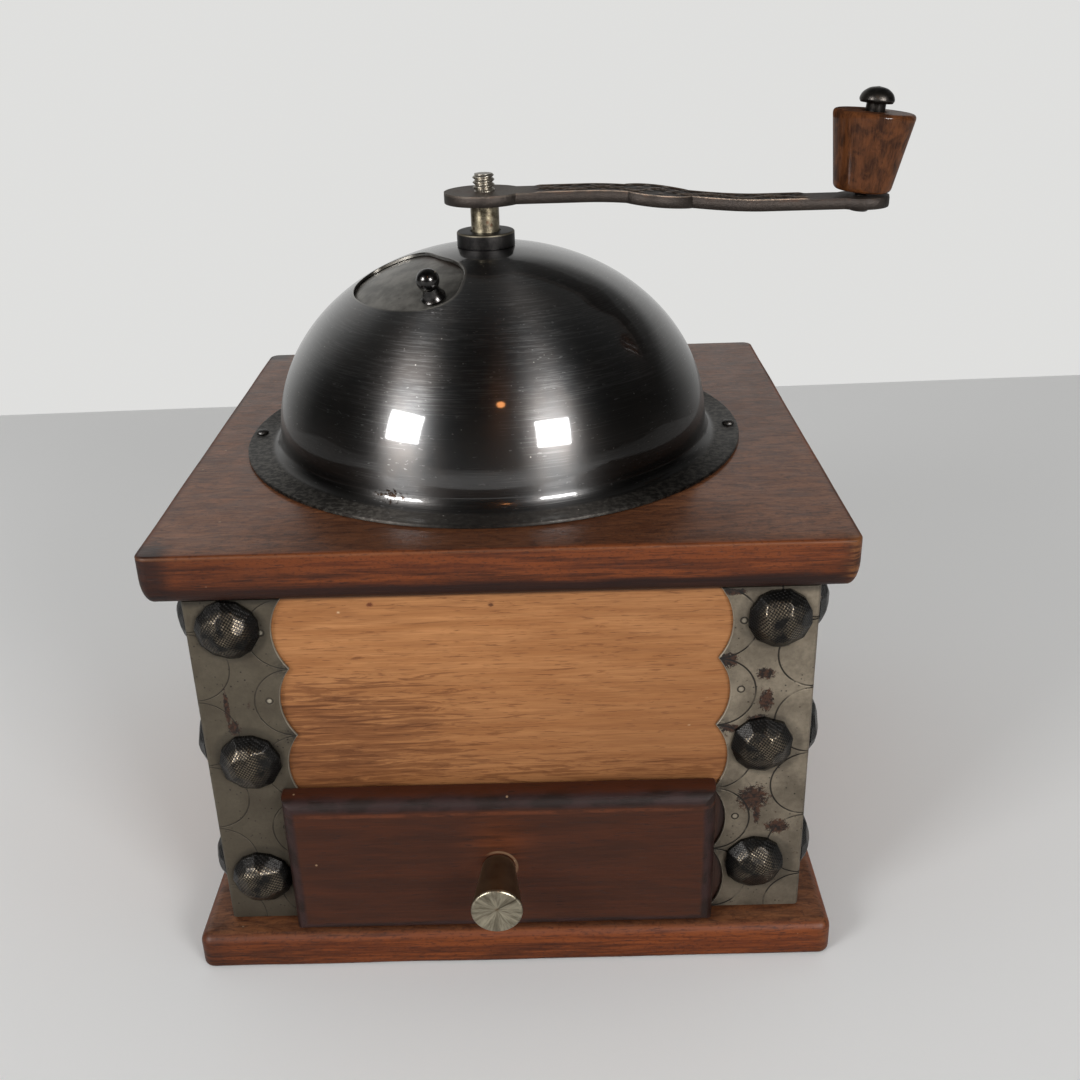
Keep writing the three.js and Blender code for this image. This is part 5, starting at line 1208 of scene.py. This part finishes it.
def arm_grid():
    """Columns run round the section, over the top, down a side, under and up; rows run along it."""
    bends = np.concatenate([ARM_HUB * -np.cos(np.linspace(0, math.pi / 2, 22)),
                            np.linspace(0, ARM_LENGTH, 330)[1:-1],
                            ARM_LENGTH + ARM_EYE * np.sin(np.linspace(0, math.pi / 2, 18))])
    share = np.linspace(-1, 1, 45)
    wide = arm_width(bends)[:, None]
    along = bends[:, None]
    soft = np.minimum(ARM_EASE, wide * 0.4)
    top_across = share * (wide - soft)
    low_across = share[::-1] * (wide - soft)
    top = ARM_THICK + relief(along, top_across) * RELIEF
    sides = [(0.3, 0.15), (0.0, 0.5), (0.0, 2.3), (0.3, 2.65)]
    down = [(wide - soft * cut / ARM_EASE, ARM_THICK - low + 0 * wide) for cut, low in sides]
    edges = [np.concatenate(pair, 1) for pair in zip(*down)]
    across = np.concatenate([top_across, edges[0], low_across, -edges[0][:, ::-1], top_across[:, :1]], 1)
    height = np.concatenate([top, edges[1], 0 * low_across, edges[1][:, ::-1], top[:, :1]], 1)
    drop = ARM_DROP * step(along, *ARM_BEND)
    x = AXIS[0] + along + 0 * across
    grid = np.stack([x, AXIS[1] + across, SHAFT_SEAT + height - drop], -1)
    ends = grid[[0, -1]].copy()
    ends[..., 1] = AXIS[1]
    ends[..., 2] = SHAFT_SEAT + ARM_THICK / 2 - np.array([0, ARM_DROP])[:, None]
    return np.concatenate([ends[:1], grid, ends[1:]])


arm = fit(surface("arm_casting", arm_grid(), smooth_below=50), "crank_arm", "crank")
arm_iron = Finish("arm_iron", (*AXIS, SHAFT_SEAT), Metallic=0.8, IOR=1.6)
arm_drop = ARM_DROP * arm_iron.x.smooth(*ARM_BEND)
arm_level = arm_iron.z + arm_drop - ARM_THICK
raised = arm_level.smooth(-0.05, 0.18)
arm_clouds = arm_iron.noise(3, 12.0, 5.0, 0.65)
on_top = arm_level.smooth(-0.6, -0.25)
arm_iron.colour = arm_iron.mix(arm_clouds, ARM_BLACK, ARM_BROWN)
worn_arm = arm_clouds.smooth(0.38, 0.6)
arm_iron.lay(on_top * raised * (0.3 + worn_arm * 0.5), ARM_RUBBED)
arm_hub = arm_iron.x.smooth(17, 9) * on_top
arm_iron.lay(arm_hub * 0.4, ARM_HUB_GREY)
arm_iron.lay(on_top * arm_clouds.smooth(0.5, 0.66) * 0.4, RUST_RED)
arm_grit = arm_iron.noise(0.7, 16.0, 4.0, 0.65)
arm_rough = 0.5 - raised * on_top * 0.12 + arm_clouds * 0.1
arm_iron.dress(arm, Roughness=arm_rough, Normal=arm_iron.bump(arm_grit, 0.16))

# The grip and its pin: a turned wooden grip, wider at the top, that spins on an iron pin. The pin
# is riveted in the arm's eye, leans a little outwards and ends in a mushroom head.
GRIP_AT, GRIP_LEAN, GRIP_SLOPE = (96.7, -2.1, 184.726), 5.5, 0.096
GRIP_PROFILE = [(2.8, 0), (7.4, 0), (10.75, 20), (2.8, 20), (2.8, 0)]
PIN_PROFILE = [(0, -5.2), (2.2, -5.2), (3.2, -4.3), (1.6, -4.3), (1.6, -0.8), (2.5, -0.5), (2.5, 22),
               (4.1, 22), (4.6, 22.8), (3.95, 24.4), (2.3, 25.6), (0, 26)]
PIN_BLACK, PIN_GREY = srgb(26, 24, 23), srgb(62, 58, 54)
GRIP_BROWN, GRIP_RED = srgb(46, 26, 14), srgb(98, 57, 29)
GRIP_STREAK, GRIP_FIBRE, GRIP_PORE = srgb(46, 27, 17), srgb(126, 76, 46), srgb(34, 20, 14)
grip_tilt = Matrix.Rotation(math.radians(GRIP_LEAN), 3, "Y")
grip_line = fine(eased(GRIP_PROFILE, 1.5, 7), 0.8)
grip = fit(surface("grip_wood", lathe(grip_line, 128, GRIP_AT, grip_tilt)), "handle_grip", "grip")
pin_line = np.concatenate([eased(PIN_PROFILE[:8], 0.2, 3)[:-1], eased(PIN_PROFILE[7:], 0.8, 5)])
pin = fit(surface("pin_iron", lathe(pin_line, 64, GRIP_AT, grip_tilt)), "handle_pin", "crank")
metal("pin_black", PIN_BLACK, PIN_GREY, 84.0, 0.34, 3.0, 0.06).dress(pin)
grip_wood = Finish("grip_wood", GRIP_AT, IOR=1.1, Coat_Roughness=0.12, Coat_IOR=1.5)
grip_streaks, grip_fibres, grip_pores = grain(grip_wood, "z", 88.0, 4.0, 0.5)
grip_mottle = grip_wood.noise(3.4, 92.0, 4.0, 0.6, 0.8, stretch=(1, 1, 1.6))
grip_wood.colour = grip_wood.mix(grip_mottle.smooth(0.36, 0.64), GRIP_BROWN, GRIP_RED)
grip_wood.lay(grip_streaks * 0.25, GRIP_STREAK)
grip_wood.lay(grip_fibres * 0.25, GRIP_FIBRE)
grip_wood.lay(grip_pores * 0.4, GRIP_PORE)
grip_top = (grip_wood.z - grip_wood.x * GRIP_SLOPE).smooth(19.2, 19.8)
grip_normal = grip_wood.bump(grip_fibres * 0.5 + grip_mottle * 0.5 - grip_pores * 0.5, 0.06)
grip_rough = 0.42 + grip_mottle * 0.16 + grip_top * 0.3
grip_coat = (0.12 + grip_mottle * 0.2) * (1 - grip_top)
grip_wood.dress(grip, Roughness=grip_rough, Normal=grip_normal, Coat_Weight=grip_coat)

# The drawer's box and the strips beside it: plain unstained boards, a little dirty with coffee.
INNER_PALE, INNER_MID, INNER_DARK = srgb(188, 154, 114), srgb(158, 122, 84), srgb(104, 74, 48)


def inner_wood(name, along, seed):
    """Plain wood without stain or varnish, darkened in cloudy places."""
    finish = Finish(name, IOR=1.45)
    streaks, fibres, pores = grain(finish, along, seed, 6.0, 0.5)
    finish.colour = finish.mix(streaks, INNER_MID, INNER_PALE)
    finish.lay(fibres * 0.35, INNER_DARK)
    dirt_and_shade = finish.blots(0.48, 0.7, 14, seed + 3, 5.0, 0.65)
    finish.lay(dirt_and_shade * 0.5, INNER_DARK)
    normal = finish.bump(fibres * 0.5 + (1 - pores) * 0.5, 0.04)
    return finish.set(Roughness=0.6 + fibres * 0.15, Normal=normal)


inner_wood("drawer_wood_long", "y", 100.0).dress(*solids(
    "left_drawer_guide", "right_drawer_guide", "drawer_left_side", "drawer_right_side", "drawer_floor"))
inner_wood("drawer_wood_cross", "x", 104.0).dress(*solids("drawer_back"))

# The drawer front: a dark stained lip over the opening, its edges rounded broadly in front, with
# a tongue behind that fits in the opening.
LIP_X, LIP_Z = (-57.6, 52.3), (10.7, 52.9)
LIP_FACE, LIP_BACK = -84.65, -78.05
TONGUE_X, TONGUE_Z, TONGUE_Y = (-49.75, 49.75), (10.7, 48.2), (-80.5, -70.05)
LIP_EASE = (3.9, 4.4)
MAHOGANY, MAHOGANY_RED, MAHOGANY_BLACK = srgb(57, 30, 17), srgb(77, 38, 19), srgb(29, 17, 14)
MAHOGANY_ORANGE, MAHOGANY_BLUE_SHEEN = srgb(112, 60, 34), srgb(47, 29, 28)


def lip_grid():
    """The lip is a board that faces the drawer's way: its width and height are the board's own,
    and the board's height is the way out to the front."""
    size = (LIP_X[1] - LIP_X[0], LIP_Z[1] - LIP_Z[0])
    flat = board(size, (0, LIP_BACK - LIP_FACE), (0.3, 0.3), LIP_EASE, 0.7, uneven=0.05, seed=6)
    x = flat[..., 0] + sum(LIP_X) / 2
    z = flat[..., 1] + sum(LIP_Z) / 2
    return np.stack([x, LIP_BACK - flat[..., 2], z], -1)


def tongue_grid():
    """The tongue is a board that faces the same way and begins behind the lip."""
    size = (TONGUE_X[1] - TONGUE_X[0], TONGUE_Z[1] - TONGUE_Z[0])
    flat = board(size, (0, TONGUE_Y[1] - TONGUE_Y[0]), (0.4, 0.4), (0.4, 0.4), 0.5, uneven=0, seed=6)
    return np.stack([flat[..., 0], TONGUE_Y[1] - flat[..., 2], flat[..., 1] + sum(TONGUE_Z) / 2], -1)


drawer_front = fit(surface("drawer_front_wood", lip_grid(), tongue_grid()), "drawer_front", "drawer")
lip_centre = (sum(LIP_X) / 2, LIP_FACE, sum(LIP_Z) / 2)
# The knob's place; about it the lip is worn, most above it, and its foot has left a pale ring
PULL_AT = (-3.3, -78.05, 31.6)
WEAR_RISE, PULL_RING = 5.5, 4.7
PULL_OFF = (PULL_AT[0] - lip_centre[0], PULL_AT[2] - lip_centre[2])
front = Finish("drawer_stain", lip_centre, IOR=1.25)
front_streaks, front_fibres, front_pores = grain(front, "x", 110.0, 5.0, 0.45)
front.colour = front.mix(0.15 + front_streaks * 0.6, MAHOGANY, MAHOGANY_RED)
front.lay(front_fibres * 0.3, MAHOGANY_BLACK)
in_x = (LIP_X[1] - LIP_X[0]) / 2 - abs(front.x)
in_z = (LIP_Z[1] - LIP_Z[0]) / 2 - abs(front.z)
inside = front.least(in_x, in_z)
wander = front.noise(6, 114.0, 3.0, stretch=(2, 1, 1)) * 1.2
# On the rounded edges, painted shade in blue-black and, where the noise says, a blue-tinged painted sheen.
shade_band = (inside + wander).smooth(4.6, 3.4)
bluish_sheen = front.blots(0.4, 0.6, 4, 116.0, 3.0, stretch=(2, 1, 1))
front.lay(shade_band * 0.88, front.mix(bluish_sheen, MAHOGANY_BLACK, MAHOGANY_BLUE_SHEEN))
line_worn = front.blots(0.42, 0.58, 5, 117.0, 4.0, 0.7, stretch=(3, 1, 1))
upper = front.z.smooth(0, 4)
line_at = abs(in_z - 4.5 + (wander - 0.6) * 0.3).smooth(0.8, 0.2) * upper
front.lay(line_at * (0.05 + line_worn * 0.42), MAHOGANY_ORANGE)
edge_red = (in_z + wander).smooth(1.6, 0.6) * upper
front.lay(edge_red * 0.7, MAHOGANY_RED)
halo = front.length(front.x - PULL_OFF[0], front.z - WEAR_RISE) + wander
front.lay(halo.smooth(15, 4) * front_streaks * 0.5, MAHOGANY_ORANGE)
pull_ring = front.length(front.x - PULL_OFF[0], front.z - PULL_OFF[1])
pull_ring = abs(pull_ring - PULL_RING).smooth(0.5, 0.15) * (front.z + front.x).smooth(-1, 4)
front.lay(pull_ring * 0.3, BARE_WOOD)
front.lay(front_pores * 0.5, MAHOGANY_BLACK)
nicks = front.cells(9, 3.0).smooth(0.045, 0.02)
front.lay(nicks * 0.5, BARE_WOOD)
front_gloss = 0.34 + front.noise(8, 118.0, 4.0, stretch=(2, 1, 1)) * 0.22 + front_pores * 0.12
front_normal = front.bump(front_fibres * 0.4 + (1 - front_pores) * 0.6, 0.04)
front.dress(drawer_front, Roughness=front_gloss, Normal=front_normal)

# The drawer's knob: a turned metal cone with a dished face, screwed on from behind.
PULL_PROFILE = [(0, -8), (1.6, -7.6), (1.6, 6.9), (4.2, 6.9), (6.4, 22.9), (6.0, 23.3), (0, 22.4)]
PULL_BROWN, PULL_TAN = srgb(84, 66, 48), srgb(124, 104, 80)
FACE_DARK, FACE_PALE_GLINT, FACE_SCRATCH = srgb(104, 97, 83), srgb(162, 155, 136), srgb(52, 44, 34)
pull_line = fine(eased(PULL_PROFILE, 0.25, 3), 1.2)
towards_front = Matrix(((1, 0, 0), (0, 0, -1), (0, 1, 0)))
pull = fit(surface("pull_metal", lathe(pull_line, 96, PULL_AT, towards_front)), "drawer_knob", "drawer")
pull_metal = Finish("pull_metal", PULL_AT, Metallic=1.0, IOR=1.6)
pull_turn = pull_metal.math("ARCTAN2", pull_metal.z, pull_metal.x)
pull_out = pull_metal.length(pull_metal.x, pull_metal.z)
face = pull_metal.y.smooth(-22.3, -22.55)
turned_place = pull_metal.joined(pull_turn * 3.6, pull_out * 0.16, pull_metal.y * 0.5)
turned = pull_metal.noise_at(turned_place, 4.0, 0.65)
pull_clouds = pull_metal.noise(4, 120.0, 4.0, 0.6)
pull_metal.colour = pull_metal.mix(pull_clouds, PULL_BROWN, PULL_TAN)
scratch = abs(pull_metal.x * 0.62 - pull_metal.z * 0.78 + turned * 0.6 - 0.3)
scratch = scratch.smooth(0.3, 0.1) * pull_metal.x.smooth(-0.8, 0.2)
# The face's pale radial rays: turning marks, and a painted fan of highlights.
face_rays_and_glint = pull_metal.mix(turned.smooth(0.3, 0.7), FACE_DARK, FACE_PALE_GLINT)
face_rays_and_glint = pull_metal.mix(scratch * 0.7, face_rays_and_glint, FACE_SCRATCH)
pull_metal.lay(face, face_rays_and_glint)
pull_rough = 0.36 + pull_clouds * 0.12 - face * 0.08
pull_metal.dress(pull, Roughness=pull_rough, Normal=pull_metal.bump(turned, 0.02))
